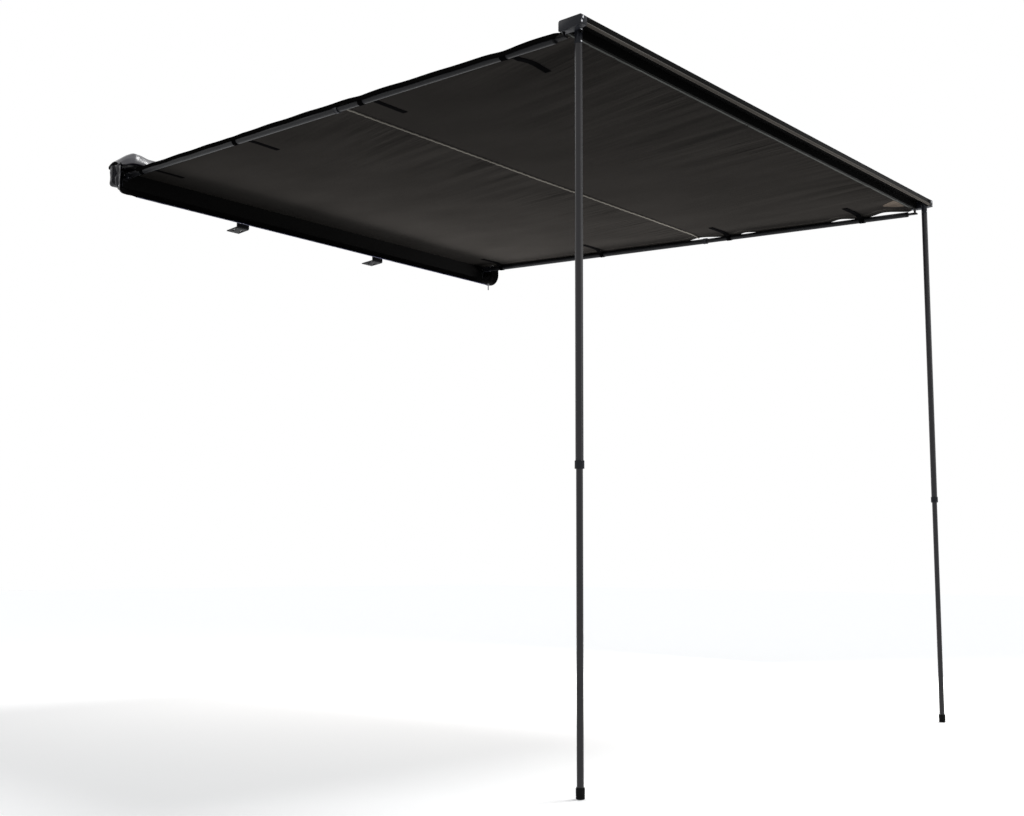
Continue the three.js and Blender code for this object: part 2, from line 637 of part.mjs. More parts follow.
// A sheet over a grid of points, thickened up and down by half its thickness at each point
function sheet(rows, columns, pointAt, thicknessAt) {
  const positions = [];
  for (const side of [1, -1]) {
    for (let i = 0; i <= rows; i += 1) {
      for (let j = 0; j <= columns; j += 1) {
        const { point, normal } = pointAt(i, j);
        positions.push(...point.clone().addScaledVector(normal, side * thicknessAt(i, j) / 2).toArray());
      }
    }
  }
  const wide = columns + 1;
  const lower = (rows + 1) * wide;
  const faces = [];
  const quad = (a, b, c, d) => faces.push(a, b, c, a, c, d);
  for (let i = 0; i < rows; i += 1) {
    for (let j = 0; j < columns; j += 1) {
      const a = i * wide + j;
      quad(a, a + 1, a + wide + 1, a + wide);
      quad(lower + a, lower + a + wide, lower + a + wide + 1, lower + a + 1);
    }
    const left = i * wide;
    const right = left + columns;
    quad(left, left + wide, lower + left + wide, lower + left);
    quad(right, lower + right, lower + right + wide, right + wide);
  }
  for (let j = 0; j < columns; j += 1) {
    const last = rows * wide + j;
    quad(j, lower + j, lower + j + 1, j + 1);
    quad(last, last + 1, lower + last + 1, lower + last);
  }
  const geometry = new THREE.BufferGeometry();
  geometry.setAttribute('position', new THREE.Float32BufferAttribute(positions, 3));
  geometry.setIndex(faces);
  const solid = toSolid(geometry);
  if (solid.volume() < 0) geometry.index.array.reverse();
  geometry.computeVertexNormals();
  return geometry;
}

// Canopy: its middle line, its sag and the inward bow of its side edges between the straps
const canopyHalf = awningLength / 2 - canopySideGap;
const canopyRun = canopyFrontDepth - canopyRearDepth;

function canopyHeightAt(x, depth) {
  const share = (depth - canopyRearDepth) / canopyRun;
  const across = 1 - (x / canopyHalf) ** 2;
  const sag = canopySag * 4 * share * (1 - share) * across;
  return canopyRearHeight + (canopyFrontHeight - canopyRearHeight) * share - sag;
}

function canopyEdgeAt(depth) {
  const stops = [canopyRearDepth, ...Object.values(strapDepths), canopyFrontDepth];
  const next = Math.min(Math.max(stops.findIndex((stop) => stop > depth), 1), stops.length - 1);
  const share = (depth - stops[next - 1]) / (stops[next] - stops[next - 1]);
  const bow = Math.max(0, 4 * share * (1 - share)) * canopyEdgeBow;
  return canopyHalf - bow * (stops[next] - stops[next - 1]) / canopyRun * (stops.length - 1);
}

function canopy() {
  const stops = [canopyRearDepth + weltRadius, ...Object.values(strapDepths), canopyFrontDepth - weltRadius];
  const spanSteps = 4;
  const inner = stops.slice(1).flatMap((stop, i) => Array.from({ length: spanSteps }, (_, k) => (
    stops[i] + (stop - stops[i]) * k / spanSteps)));
  const depths = [
    canopyRearDepth - weltRadius, canopyRearDepth, ...inner, stops.at(-1), canopyFrontDepth,
    canopyFrontDepth + weltRadius,
  ];
  const last = depths.length - 1;
  const columns = 10;
  const thickness = (i) => {
    if (i === 0 || i === last) return weltEndThickness;
    return i === 1 || i === last - 1 ? weltRadius * 2 : canopyThickness;
  };
  const up = new THREE.Vector3(0, 0, 1);
  const pointAt = (i, j) => {
    const depth = depths[i];
    const held = Math.min(Math.max(depth, canopyRearDepth), canopyFrontDepth);
    const x = (2 * j / columns - 1) * canopyEdgeAt(held);
    return { point: new THREE.Vector3(x, -depth, canopyHeightAt(x, held)), normal: up };
  };
  place(model, 'canopy', sheet(last, columns, pointAt, thickness), canopyCloth);
}

// A band of even thickness along a path of [x, z] pairs, extruded along the rafter
function band(path, thickness, width) {
  const points = path.map(([x, z]) => new THREE.Vector2(x, z));
  const edge = (side) => points.map((point, i) => {
    const before = points[Math.max(i - 1, 0)];
    const after = points[Math.min(i + 1, points.length - 1)];
    const run = after.clone().sub(before).normalize();
    return new THREE.Vector2(point.x - side * run.y * thickness / 2, point.y + side * run.x * thickness / 2);
  });
  const outline = new THREE.Shape([...edge(1), ...edge(-1).reverse()]);
  return new THREE.ExtrudeGeometry(outline, { depth: width, bevelEnabled: false })
    .rotateX(Math.PI / 2).translate(0, width / 2, 0);
}

// Strap: a loop round the rafter, and a tail that lies under the canopy
function straps(end, side) {
  for (const [order, depth] of Object.entries(strapDepths)) {
    const tube = depth < rafterLockDepth ? rafterOuterRadius : rafterInnerRadius;
    const ringInner = tube + fitGap;
    const ringMiddle = ringInner + strapThickness / 2;
    const axisHeight = tiltPinHeight - (depth - tiltPinDepth) * Math.tan(slope);
    const below = canopyThickness / 2 + fitGap * 2 + strapThickness / 2;
    const tailAt = (x) => {
      const height = canopyHeightAt(rafterX - x, depth) - below - axisHeight;
      return [x, height * Math.cos(slope)];
    };
    const edgeX = rafterX - canopyHalf;
    const lift = Math.PI / 4;
    const leave = [ringMiddle * Math.cos(lift), ringMiddle * Math.sin(lift)];
    const path = [leave, tailAt(edgeX * strapBendShare + strapThickness), tailAt(edgeX + strapWidth),
      tailAt(edgeX + strapTailLength / 2), tailAt(edgeX + strapTailLength)];
    const ring = alongRun(pipe(ringInner + strapThickness, ringInner, -strapWidth / 2, strapWidth / 2));
    const strap = join(ring, band(path, strapThickness, strapWidth));
    if (side > 0) strap.rotateZ(Math.PI);
    place(slopeFrame, `strap_${end}_${order}`, strap, blackWebbing)
      .position.set(side * rafterX, -alongSlope(depth), 0);
  }
}

// Bag lower flap: a tray hung from the rail's bottom groove, with an upturned rounded pocket at each end
function bagLowerFlap() {
  const rearHeight = rearRailBottom + weltFromEdge;
  const belly = new THREE.QuadraticBezierCurve(
    new THREE.Vector2(rearRailDepth + bagSheetThickness / 2 + fitGap, rearHeight),
    new THREE.Vector2(bagBellyDepth, bagBellyHeight - bagEdgeDrop),
    new THREE.Vector2(bagEdgeDepth, -bagEdgeDrop));
  const rows = 10;
  const flat = bagHalfLength - bagPocketRadius;
  const pocketSteps = 6;
  const turns = Array.from({ length: pocketSteps + 1 }, (_, k) => (Math.PI / 2) * k / pocketSteps);
  const shares = Array.from({ length: pocketSteps - 1 }, (_, k) => 2 * (k + 1) / pocketSteps - 1);
  const pocket = (sign) => turns.map((turn) => ({ turn, sign }));
  const stationList = [
    { wall: true, sign: -1 }, ...pocket(-1).reverse(), ...shares.map((flatShare) => ({ flatShare })),
    ...pocket(1), { wall: true, sign: 1 },
  ];
  const pointAt = (i, j) => {
    const along = i / rows;
    const { x: depth, y: bottom } = belly.getPoint(along);
    const station = stationList[j];
    if (station.wall) {
      const top = bagPocketTop + (bagPocketFrontTop - bagPocketTop) * along ** 2;
      return {
        point: new THREE.Vector3(station.sign * bagHalfLength, -depth, top),
        normal: new THREE.Vector3(station.sign, 0, 0),
      };
    }
    const tangent = belly.getTangent(along);
    const down = new THREE.Vector3(0, -tangent.y, -tangent.x).normalize();
    if (station.turn === undefined) {
      return { point: new THREE.Vector3(flat * station.flatShare, -depth, bottom), normal: down };
    }
    const { turn, sign } = station;
    const x = sign * (flat + bagPocketRadius * Math.sin(turn));
    const z = bottom + bagPocketRadius * (1 - Math.cos(turn));
    const outward = new THREE.Vector3(sign * Math.sin(turn), 0, 0).addScaledVector(down, Math.cos(turn));
    return { point: new THREE.Vector3(x, -depth, z), normal: outward.normalize() };
  };
  const flap = sheet(rows, stationList.length - 1, pointAt, () => bagSheetThickness);
  place(model, 'bag_lower_flap', flap, bagVinyl);
}

// Zip: the toothed track on the flap's edge and the slider that runs along it
function zip() {
  const back = bagEdgeDepth + bagSheetThickness / 4 + fitGap;
  const front = back + zipTrackDepth;
  const middle = -bagEdgeDrop;
  place(model, 'zip_track', block([-zipTrackHalfLength, zipTrackHalfLength], [-front, -back],
    [middle - zipTrackHeight / 2, middle + zipTrackHeight / 2]), zipCoil);
  const halfLength = zipSliderLength / 2;
  const body = block([-halfLength, halfLength], [-back - zipSliderDepth, -back - fitGap],
    [-zipSliderHeight / 2, zipSliderHeight / 2]);
  const channel = block([-halfLength - cutOverrun, halfLength + cutOverrun],
    [-front - fitGap, -back + cutOverrun], [-zipTrackHeight / 2 - fitGap, zipTrackHeight / 2 + fitGap]);
  const pull = block([-zipPullWidth / 2, zipPullWidth / 2],
    [-back - zipSliderDepth, zipPullThickness - back - zipSliderDepth], [-zipPullLength, 0]);
  place(model, 'zip_slider', join(cut(body, channel), pull), zincSteel)
    .position.set(zipTrackHalfLength - zipSliderFromEnd, 0, middle);
}

// Bag top flap: thrown back over the rail as a loose roll that rises at its ends
function bagTopFlap() {
  const rows = 8;
  const columns = 20;
  const half = bagHalfLength - bagSheetThickness;
  const rest = rearRailTop + topFlapRestGap;
  const heightAt = (i, j) => {
    const share = 2 * j / columns - 1;
    const around = Math.PI * i / rows;
    const rise = topFlapHeight + topFlapEndRise * share ** topFlapEndPower;
    const ripple = topFlapRipple * Math.sin(2 * Math.PI * topFlapRipples * share);
    const folds = topFlapFold * Math.sin(2 * (topFlapFolds * around + topFlapTwists * Math.PI * share));
    return bagSheetThickness + (rise + ripple + folds) * Math.max(Math.sin(around), 0) ** topFlapRoundness;
  };
  const up = new THREE.Vector3(0, 0, 1);
  const pointAt = (i, j) => {
    const depth = topFlapCentreDepth - topFlapHalfDepth * Math.cos(Math.PI * i / rows);
    const x = (2 * j / columns - 1) * half;
    return { point: new THREE.Vector3(x, -depth, rest + heightAt(i, j) / 2), normal: up };
  };
  place(model, 'bag_top_flap', sheet(rows, columns, pointAt, heightAt), bagVinyl);
}

rearRail();
endPlates();
roofBrackets();
hingeMounts();
frontRail();
endCaps();
for (const [end, side] of [['near', -1], ['far', 1]]) {
  hingeBlock(end, side);
  rafterKnuckle(end, side);
  rafterTubes(end, side);
  rafterTip(end, side);
  straps(end, side);
  const frame = legPivot(end, side);
  legKnuckle(end, frame);
  legTubes(end, frame);
}
canopy();
bagLowerFlap();
zip();
bagTopFlap();

export default model;
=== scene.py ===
"""A vehicle's side awning, opened out on its two legs, with the open bag still on the rear rail.

Metres, +Z up, in the solids' own frame. The near end is at -X, the canopy reaches out towards -Y, and the
ground is two metres under the roof-rack brackets. A depth is a distance from the rear rail's back, along -Y.
"""

import math

import bmesh
import bpy
from mathutils import Matrix, Vector, noise
from mathutils.bvhtree import BVHTree


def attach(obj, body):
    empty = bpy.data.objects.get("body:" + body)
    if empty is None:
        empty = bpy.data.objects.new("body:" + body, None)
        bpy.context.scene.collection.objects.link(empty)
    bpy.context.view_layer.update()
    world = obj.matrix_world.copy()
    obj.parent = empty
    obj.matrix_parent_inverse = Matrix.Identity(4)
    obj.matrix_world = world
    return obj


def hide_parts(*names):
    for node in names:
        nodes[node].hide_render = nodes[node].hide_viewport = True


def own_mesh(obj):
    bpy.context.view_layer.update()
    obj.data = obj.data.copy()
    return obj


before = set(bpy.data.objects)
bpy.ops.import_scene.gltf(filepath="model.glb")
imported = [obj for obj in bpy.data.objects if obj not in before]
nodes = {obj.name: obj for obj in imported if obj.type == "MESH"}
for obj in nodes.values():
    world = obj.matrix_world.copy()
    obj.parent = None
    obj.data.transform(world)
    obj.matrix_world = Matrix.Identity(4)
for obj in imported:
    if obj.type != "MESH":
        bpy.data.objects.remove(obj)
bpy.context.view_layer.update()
FOLD_SEED = 5
noise.seed_set(FOLD_SEED)

ENDS = (("near", -1), ("far", 1))
GROUND = -2.0

# Camera
CAMERA_PLACE = (-3.0194, -4.1871, -1.4566)
CAMERA_YAW = math.radians(44.481)
CAMERA_PITCH = math.radians(5.988)
CAMERA_ROLL = math.radians(0.217)
CAMERA_LENS = 39.660
IMAGE_WIDTH = 1024
CAMERA_SHIFT = 40 / IMAGE_WIDTH

# Light and floor: each sun's turn and spread in degrees, each fill's place, direction, size and power
WHITE = (1, 1, 1, 1)
DOME_COLOUR = (0.94, 0.97, 1.0, 1)
DOME_STRENGTH = 0.42
SUNS = (("key", (30, 0, 72), 18, 1.35), ("low", (76, 0, 21), 12, 0.25), ("rim", (60, 0, 197), 18, 0.3))
FILLS = (("rear_fill", (1.2, 1.1, -0.70), (-0.45, -1.0, 0.75), 2.6, 0.8, 130),
         ("far_fill", (3.3, -1.7, -1.0), (-1.0, 0.05, 0.65), 1.8, 0.8, 145))
FILL_COLOUR = (1.0, 0.97, 0.94)
FLOOR_HALF = 20
FLOOR_DROP = 0.0005
FLOOR_COLOUR = (0.42, 0.42, 0.42, 1)
FLOOR_ROUGHNESS = 0.9
FLOOR_GLOW = 0.15

# Rafters: the tilt pin, the slope, and the tubes
RAFTER_X = 0.990
TILT_DEPTH = 0.038
TILT_HEIGHT = 0.082
SLOPE = math.radians(5.19139)
SWING_STEPS = {"near": 0.020, "far": 0.046}
RAFTER_RADIUS = 0.011
RAFTER_INNER_RADIUS = 0.0095
TUBE_WALL = 0.0012
TUBE_START = 0.0203
RAFTER_LOCK_DEPTH = 1.430
RAFTER_TIP_DEPTH = 2.340
TUBE_OVERLAP = 0.120
RAFTER_COLLAR_RADIUS = 0.0125
RAFTER_COLLAR_LENGTH = 0.018
SWING_PIN_GRIP = 0.0103
TILT_PIN_GRIP = 0.0111

# Front rail: each pair of its bead is where the band of painted highlight starts and where it is full
RAIL_REACH = 2.437
RAIL_TOP = -0.092
BEAD_FOOT = (RAIL_TOP - 0.0262, RAIL_TOP - 0.0235)
BEAD_HEAD = (RAIL_TOP - 0.0135, RAIL_TOP - 0.0155)
BEAD_FACE = (0.0065 - RAIL_REACH, 0.0050 - RAIL_REACH)

# Legs
LEG_X = 0.963
LEG_DEPTHS = {"near": 2.397, "far": 2.420}
LEG_PIVOT = RAIL_TOP - 0.015
LEG_TUBE_TOP = LEG_PIVOT - 0.0403
LEG_TUBE_FOOT = GROUND + 0.0053
LEG_RADIUS = 0.010
LEG_LOWER_RADIUS = 0.0085
LEG_LOCK = GROUND + 0.785
LEG_OVERLAP = 0.110
LEG_COLLAR_RADIUS = 0.012
LEG_COLLAR_LENGTH = 0.020
LEG_PIN_GRIP = 0.0096
FOOT_PROFILE = ((0, 0), (0.0095, 0), (0.0108, 0.0012), (0.011, 0.0045), (0.0102, 0.0052), (0.0102, 0.0062),
                (0.011, 0.0069), (0.011, 0.0098), (0.0102, 0.0105), (0.0102, 0.0115), (0.011, 0.0122),
                (0.011, 0.0245), (0.0104, 0.0264), (0.0096, 0.027), (0.0088, 0.027), (0.0088, 0.005),
                (0, 0.005))

# Canopy
CANOPY_REAR = (0.017, 0.104)
CANOPY_FRONT = (2.377, -0.1115)
CANOPY_RUN = CANOPY_FRONT[0] - CANOPY_REAR[0]
CANOPY_SAG = 0.004
CANOPY_CLOTH = 0.0009
CANOPY_COLUMNS = 196
CANOPY_ROWS = 236
NEAR_EDGE = 0.984
FAR_EDGE = 0.999
EDGE_WAVE = 0.0015
NEAR_WAVES = 17
FAR_WAVES = 23
FAR_GAPS = ((1.42, 0.070, 0.034), (1.64, 0.035, 0.022), (2.08, 0.045, 0.030), (2.27, 0.060, 0.040))
EDGE_COLUMNS = 9
EDGE_START = 0.972
EDGE_REAR = (0.09, 0.06)
EDGE_FRONT = (2.366, 0.02)
EDGE_FLAT = (0.018, 0.012)
EDGE_PULL = 0.6
HUNG_WAVE = 0.0012
HUNG_WAVES = 31
EDGE_FALL = ((0.018, 0.0196), (0.009, 0.0197), (0.000, 0.0197), (-0.0060, 0.0192), (-0.0100, 0.0175),
             (-0.0128, 0.0146), (-0.0140, 0.0112), (-0.0143, 0.0070), (-0.0143, 0.0022))
SEAM_DEPTH = 1.412
STRAP_DEPTHS = {"first": 0.175, "second": 0.845, "third": 1.550, "fourth": 2.160}
TAIL_REACH = {"near": 0.172, "far": 0.140}
PULL_LIMIT = 0.25
STRAP_REACH = 0.035

# How the straps draw each side down: all along it, more at a strap, and how far inward
PULLS = {-1: (0.0, 0.0012, 0.060), 1: (0.0076, 0.0002, 0.032)}

# Folds: from where they run back, how far, how strongly, and a seed
FOLD_STARTS = ((CANOPY_FRONT[0], 0.46, 1.0, 3.1), (SEAM_DEPTH, 0.36, 0.8, 9.7))
FOLD_SLANT = 0.17
FOLD_COVER = 0.62
FOLD_RISE = 0.03

# Folds too fine for the mesh: place on Y, and share
FINE_FOLD_STOPS = ((-2.40, 1.0), (-2.05, 0.45), (-1.70, 0.12), (-1.42, 0.1), (-1.41, 1.0), (-1.15, 0.45),
                   (-0.80, 0.1))

# Ripples: lumps in a metre across and along, and their height
WIDE_FOLDS = (19, 1.3, 0.0075)
FINE_FOLDS = (41, 2.1, 0.0028)
FOLD_PATCHES = (2.4, 2.0, 1.4)
SLOW_WAVES = (1.7, 1.2, 0.005)
SMALL_WAVES = (9, 3.2, 0.0012)
VINYL_DROOP = (3.1, 0.8, 0.0030)
VINYL_WAVES = (17, 1.5, 0.0010)

# Strips under the canopy's sides: inset from the edge, width, and drop under the cloth
STRIP_DROP = 0.0002
HEM = (0.001, 0.027, STRIP_DROP)
# A pale strip at each hem's inner edge: a painted highlight where that edge catches light
HEM_EDGE_HIGHLIGHT = (0.0285, 0.0022, 0.0003)
HEM_START = 0.004
HEM_SHARE = 0.99
HEM_ROWS = 220
HEM_CLOTH = 0.0007
HEM_HIGHLIGHT_CLOTH = 0.0006
# Painted shade on the cloth's side edges: outward of this at the near side, and this wide at the far side
SHADED_EDGE_X = 0.9915
SHADED_EDGE_WIDTH = 0.009
SEAM_LAP = 0.014
SEAM_COLUMNS = 190
FRONT_TAPE_HALF = 0.968
FRONT_TAPE_DEPTH = 2.3615
FRONT_TAPE_WIDTH = 0.0065
PATCH_TIP = (0.902, 2.281)
PATCH_START = 0.839
PATCH_WIDTH = 0.091
PATCH_LENGTH = 0.080
PATCH_CUT = 0.12
PATCH_DROP = 0.0005

# Bag
BAG_HALF = 1.045
BAG_CLOTH = 0.0014
BAG_MIDDLE = 0.95
ZIP_HEIGHT = -0.012
ZIP_HALF = 0.973
POCKET_RADII = {-1: 0.018, 1: 0.070}
POCKET_BACK = -0.010
POCKET_TURN = 0.016
POCKET_TOP = 0.116
POCKET_DIP = 0.016
POCKET_INNER = 0.988
HOOD_HALF = 1.043
HOOD_END = 0.965
HOOD_BASE = 0.1115
HOOD_MIDDLE = (0.030, 0.015)
HOOD_SECTION = ((-0.040, 0.000), (-0.046, 0.014), (-0.043, 0.034), (-0.024, 0.050), (0.010, 0.060),
                (0.042, 0.064), (0.065, 0.056), (0.081, 0.037), (0.091, 0.014), (0.078, 0.009),
                (0.042, 0.007), (0.014, 0.002), (-0.014, 0.000))
HOOD_OPEN = 11 / 13
HOOD_PANELS = (62, 13)


def along(depth):
    """The distance down the rafter from its tilt pin."""
    return (depth - TILT_DEPTH) / math.cos(SLOPE)


def smooth(value):
    value = min(max(value, 0.0), 1.0)
    return value * value * (3 - 2 * value)


# Camera, light and ground
def set_camera():
    data = bpy.data.cameras.new("camera")
    data.lens = CAMERA_LENS
    data.shift_y = CAMERA_SHIFT
    data.clip_end = 100
    camera = bpy.data.objects.new("camera", data)
    bpy.context.scene.collection.objects.link(camera)
    ahead = Vector((math.cos(CAMERA_YAW) * math.cos(CAMERA_PITCH),
                    math.sin(CAMERA_YAW) * math.cos(CAMERA_PITCH), math.sin(CAMERA_PITCH)))
    level = Vector((math.sin(CAMERA_YAW), -math.cos(CAMERA_YAW), 0))
    above = level.cross(ahead)
    right = level * math.cos(CAMERA_ROLL) + above * math.sin(CAMERA_ROLL)
    up = above * math.cos(CAMERA_ROLL) - level * math.sin(CAMERA_ROLL)
    turn = Matrix((right, up, -ahead)).transposed().to_4x4()
    camera.matrix_world = Matrix.Translation(CAMERA_PLACE) @ turn
    bpy.context.scene.camera = camera


def make(tree, kind, inputs=None, **settings):
    """A node with its settings, whose inputs are set to values or linked to other nodes."""
    node = tree.nodes.new(kind)
    for name, value in settings.items():
        setattr(node, name, value)
    for name, value in (inputs or {}).items():
        if isinstance(value, bpy.types.NodeSocket):
            tree.links.new(value, node.inputs[name])
        else:
            node.inputs[name].default_value = value
    return node


def seen_share(tree):
    """One for what the camera sees, also in a mirror or through glass, and otherwise zero."""
    rays = make(tree, "ShaderNodeLightPath").outputs
    glossy = make(tree, "ShaderNodeMath", operation="MAXIMUM")
    tree.links.new(rays["Is Camera Ray"], glossy.inputs[0])
    tree.links.new(rays["Is Glossy Ray"], glossy.inputs[1])
    through = make(tree, "ShaderNodeMath", operation="MAXIMUM")
    tree.links.new(glossy.outputs[0], through.inputs[0])
    tree.links.new(rays["Is Transmission Ray"], through.inputs[1])
    return through.outputs[0]


def light_studio():
    scene = bpy.context.scene
    scene.view_settings.view_transform = "Standard"
    world = bpy.data.worlds.new("studio")
    scene.world = world
    world.use_nodes = True
    tree = world.node_tree
    tree.nodes.clear()
    dome = make(tree, "ShaderNodeBackground", {"Color": DOME_COLOUR, "Strength": DOME_STRENGTH})
    white = make(tree, "ShaderNodeBackground", {"Color": WHITE, "Strength": 1.0})
    mix = make(tree, "ShaderNodeMixShader", {"Fac": seen_share(tree)})
    tree.links.new(dome.outputs[0], mix.inputs[1])
    tree.links.new(white.outputs[0], mix.inputs[2])
    out = make(tree, "ShaderNodeOutputWorld")
    tree.links.new(mix.outputs[0], out.inputs["Surface"])
    for name, turn, angle, strength in SUNS:
        data = bpy.data.lights.new(name, "SUN")
        data.angle = math.radians(angle)
        data.energy = strength
        lamp = bpy.data.objects.new(name, data)
        lamp.rotation_euler = [math.radians(part) for part in turn]
        scene.collection.objects.link(lamp)
    for name, place, towards, wide, high, energy in FILLS:
        data = bpy.data.lights.new(name, "AREA")
        data.shape = "RECTANGLE"
        data.size = wide
        data.size_y = high
        data.energy = energy
        data.color = FILL_COLOUR
        fill = bpy.data.objects.new(name, data)
        fill.location = place
        fill.rotation_euler = Vector(towards).to_track_quat("-Z", "Y").to_euler()
        fill.visible_camera = False
        fill.visible_glossy = False
        scene.collection.objects.link(fill)


def lay_floor():
    bm = bmesh.new()
    bmesh.ops.create_grid(bm, x_segments=2, y_segments=2, size=FLOOR_HALF)
    bmesh.ops.translate(bm, vec=(0, 0, GROUND - FLOOR_DROP), verts=bm.verts)
    mesh = bpy.data.meshes.new("floor")
    bm.to_mesh(mesh)
    bm.free()
    floor = bpy.data.objects.new("floor", mesh)
    bpy.context.scene.collection.objects.link(floor)
    look = bpy.data.materials.new("pale_floor")
    look.use_nodes = True
    tree = look.node_tree
    shader = tree.nodes["Principled BSDF"]
    shader.inputs["Base Color"].default_value = FLOOR_COLOUR
    shader.inputs["Roughness"].default_value = FLOOR_ROUGHNESS
    lit = make(tree, "ShaderNodeBsdfDiffuse", {"Color": WHITE})
    glow = make(tree, "ShaderNodeEmission", {"Color": WHITE, "Strength": FLOOR_GLOW})
    both = make(tree, "ShaderNodeAddShader")
    tree.links.new(lit.outputs[0], both.inputs[0])
    tree.links.new(glow.outputs[0], both.inputs[1])
    mix = make(tree, "ShaderNodeMixShader", {"Fac": seen_share(tree)})
    tree.links.new(shader.outputs[0], mix.inputs[1])
    tree.links.new(both.outputs[0], mix.inputs[2])
    tree.links.new(mix.outputs[0], tree.nodes["Material Output"].inputs["Surface"])
    mesh.materials.append(look)


# Finishes. A noise's or a grain's scale is its lumps in a metre
HARD_CLOUDS = 9
CLOUD_DETAIL = 4
GRAIN_DETAIL = 3
CLOTH_ROUGHNESS = 0.85
CLOTH_CLOUDS = 3.5
CLOTH_STRETCH = (1.6, 0.7, 1)
THREAD_STRAY = 0.4
WAVE_PERIOD = math.tau / 20


def shade(colour, share):
    return (*(min(part * share, 1.0) for part in colour), 1)


def two_tone(tree, amount, colour, mottle):
    """A colour that varies with an amount, from darker to lighter."""
    low, high = 0.3, 0.7
    ramp = make(tree, "ShaderNodeValToRGB", {"Fac": amount})
    ramp.color_ramp.elements[0].position = low
    ramp.color_ramp.elements[1].position = high
    ramp.color_ramp.elements[0].color = shade(colour, 1 - mottle)
    ramp.color_ramp.elements[1].color = shade(colour, 1 + mottle)
    return ramp.outputs["Color"]


def start_finish(name, roughness, metallic=0.0, fixed=None):
    look = bpy.data.materials.new(name)
    look.use_nodes = True
    shader = look.node_tree.nodes["Principled BSDF"]
    shader.inputs["Roughness"].default_value = roughness
    shader.inputs["Metallic"].default_value = metallic
    for socket, value in (fixed or {}).items():
        shader.inputs[socket].default_value = value
    place = make(look.node_tree, "ShaderNodeTexCoord").outputs["Object"]
    return look, look.node_tree, shader, place


def noise_of(tree, place, scale, detail=2.0, stretch=(1, 1, 1)):
    if stretch != (1, 1, 1):
        place = make(tree, "ShaderNodeMapping", {"Vector": place, "Scale": stretch}).outputs["Vector"]
    return make(tree, "ShaderNodeTexNoise", {
        "Vector": place, "Scale": scale, "Detail": detail}).outputs["Fac"]


def ranged(tree, amount, low, high):
    return make(tree, "ShaderNodeMapRange", {
        "Value": amount, "To Min": low, "To Max": high}).outputs["Result"]


def ranged_between(tree, amount, start, end):
    """Rises evenly from nothing at start to all at end."""
    return make(tree, "ShaderNodeMapRange", {
        "Value": amount, "From Min": start, "From Max": end}).outputs["Result"]


def multiplied(tree, one, other):
    node = make(tree, "ShaderNodeMath", operation="MULTIPLY")
    tree.links.new(one, node.inputs[0])
    tree.links.new(other, node.inputs[1])
    return node.outputs[0]


def raised(tree, height, distance, normal=None):
    inputs = {"Height": height, "Distance": distance, "Strength": 1.0}
    if normal is not None:
        inputs["Normal"] = normal
    return make(tree, "ShaderNodeBump", inputs).outputs["Normal"]


def grained(name, colour, roughness, grain, relief, mottle=0.12, metallic=0.0, mirror=0.5):
    """A hard finish: clouded colour, uneven gloss and a fine grain."""
    spread = 0.05
    look, tree, shader, place = start_finish(name, roughness, metallic, {"Specular IOR Level": mirror})
    clouds = noise_of(tree, place, HARD_CLOUDS, CLOUD_DETAIL)
    fine = noise_of(tree, place, grain, GRAIN_DETAIL)
    tree.links.new(two_tone(tree, clouds, colour, mottle), shader.inputs["Base Color"])
    gloss = ranged(tree, clouds, roughness - spread, roughness + spread)
    tree.links.new(gloss, shader.inputs["Roughness"])
    tree.links.new(raised(tree, fine, relief), shader.inputs["Normal"])
    return look


def rail_finish(name, colour, bead_highlight_colour):
    """Powder coat, with a painted highlight: paler and warmer along the front rail's bead."""
    roughness = 0.38
    spread = 0.05
    mirror = 0.015
    grain = 1400
    relief = 0.00004
    look, tree, shader, place = start_finish(name, roughness, 0.0, {"Specular IOR Level": mirror})
    clouds = noise_of(tree, place, HARD_CLOUDS, CLOUD_DETAIL, (0.3, 1, 1))
    parts = make(tree, "ShaderNodeSeparateXYZ", {"Vector": place}).outputs
    above = ranged_between(tree, parts["Z"], *BEAD_FOOT)
    below = ranged_between(tree, parts["Z"], *BEAD_HEAD)
    outside = ranged_between(tree, parts["Y"], *BEAD_FACE)
    # band: where the bead's painted highlight lies
    band = multiplied(tree, multiplied(tree, above, below), outside)
    plain = two_tone(tree, clouds, colour, 0.12)
    painted_highlight = two_tone(tree, clouds, bead_highlight_colour, 0.15)
    mix = make(tree, "ShaderNodeMix", {"Factor": band}, data_type="RGBA")
    tree.links.new(plain, mix.inputs["A"])
    tree.links.new(painted_highlight, mix.inputs["B"])
    tree.links.new(mix.outputs["Result"], shader.inputs["Base Color"])
    gloss = ranged(tree, clouds, roughness - spread, roughness + spread)
    tree.links.new(gloss, shader.inputs["Roughness"])
    fine = noise_of(tree, place, grain, GRAIN_DETAIL)
    tree.links.new(raised(tree, fine, relief), shader.inputs["Normal"])
    return look


def threads(tree, place, pitch, direction):
    return make(tree, "ShaderNodeTexWave", {
        "Vector": place, "Scale": WAVE_PERIOD / pitch, "Distortion": THREAD_STRAY}, wave_type="BANDS",
        bands_direction=direction).outputs["Fac"]


def woven(name, colour, pitch, relief, mottle=0.1, creases=0.0, sheen=0.03, mirror=0.05):
    """Cloth: crossing threads, clouded colour and, where it was rolled up, long faint creases."""
    look, tree, shader, place = start_finish(name, CLOTH_ROUGHNESS, 0.0, {
        "Sheen Weight": sheen, "Sheen Roughness": 0.4, "Specular IOR Level": mirror})
    warp = threads(tree, place, pitch, "X")
    weft = threads(tree, place, pitch, "Y")
    cross = multiplied(tree, warp, weft)
    clouds = noise_of(tree, place, CLOTH_CLOUDS, 5, CLOTH_STRETCH)
    tree.links.new(two_tone(tree, clouds, colour, mottle), shader.inputs["Base Color"])
    normal = raised(tree, cross, relief)
    if creases:
        normal = raised(tree, fine_folds(tree, place), creases, normal)
    tree.links.new(normal, shader.inputs["Normal"])
    return look


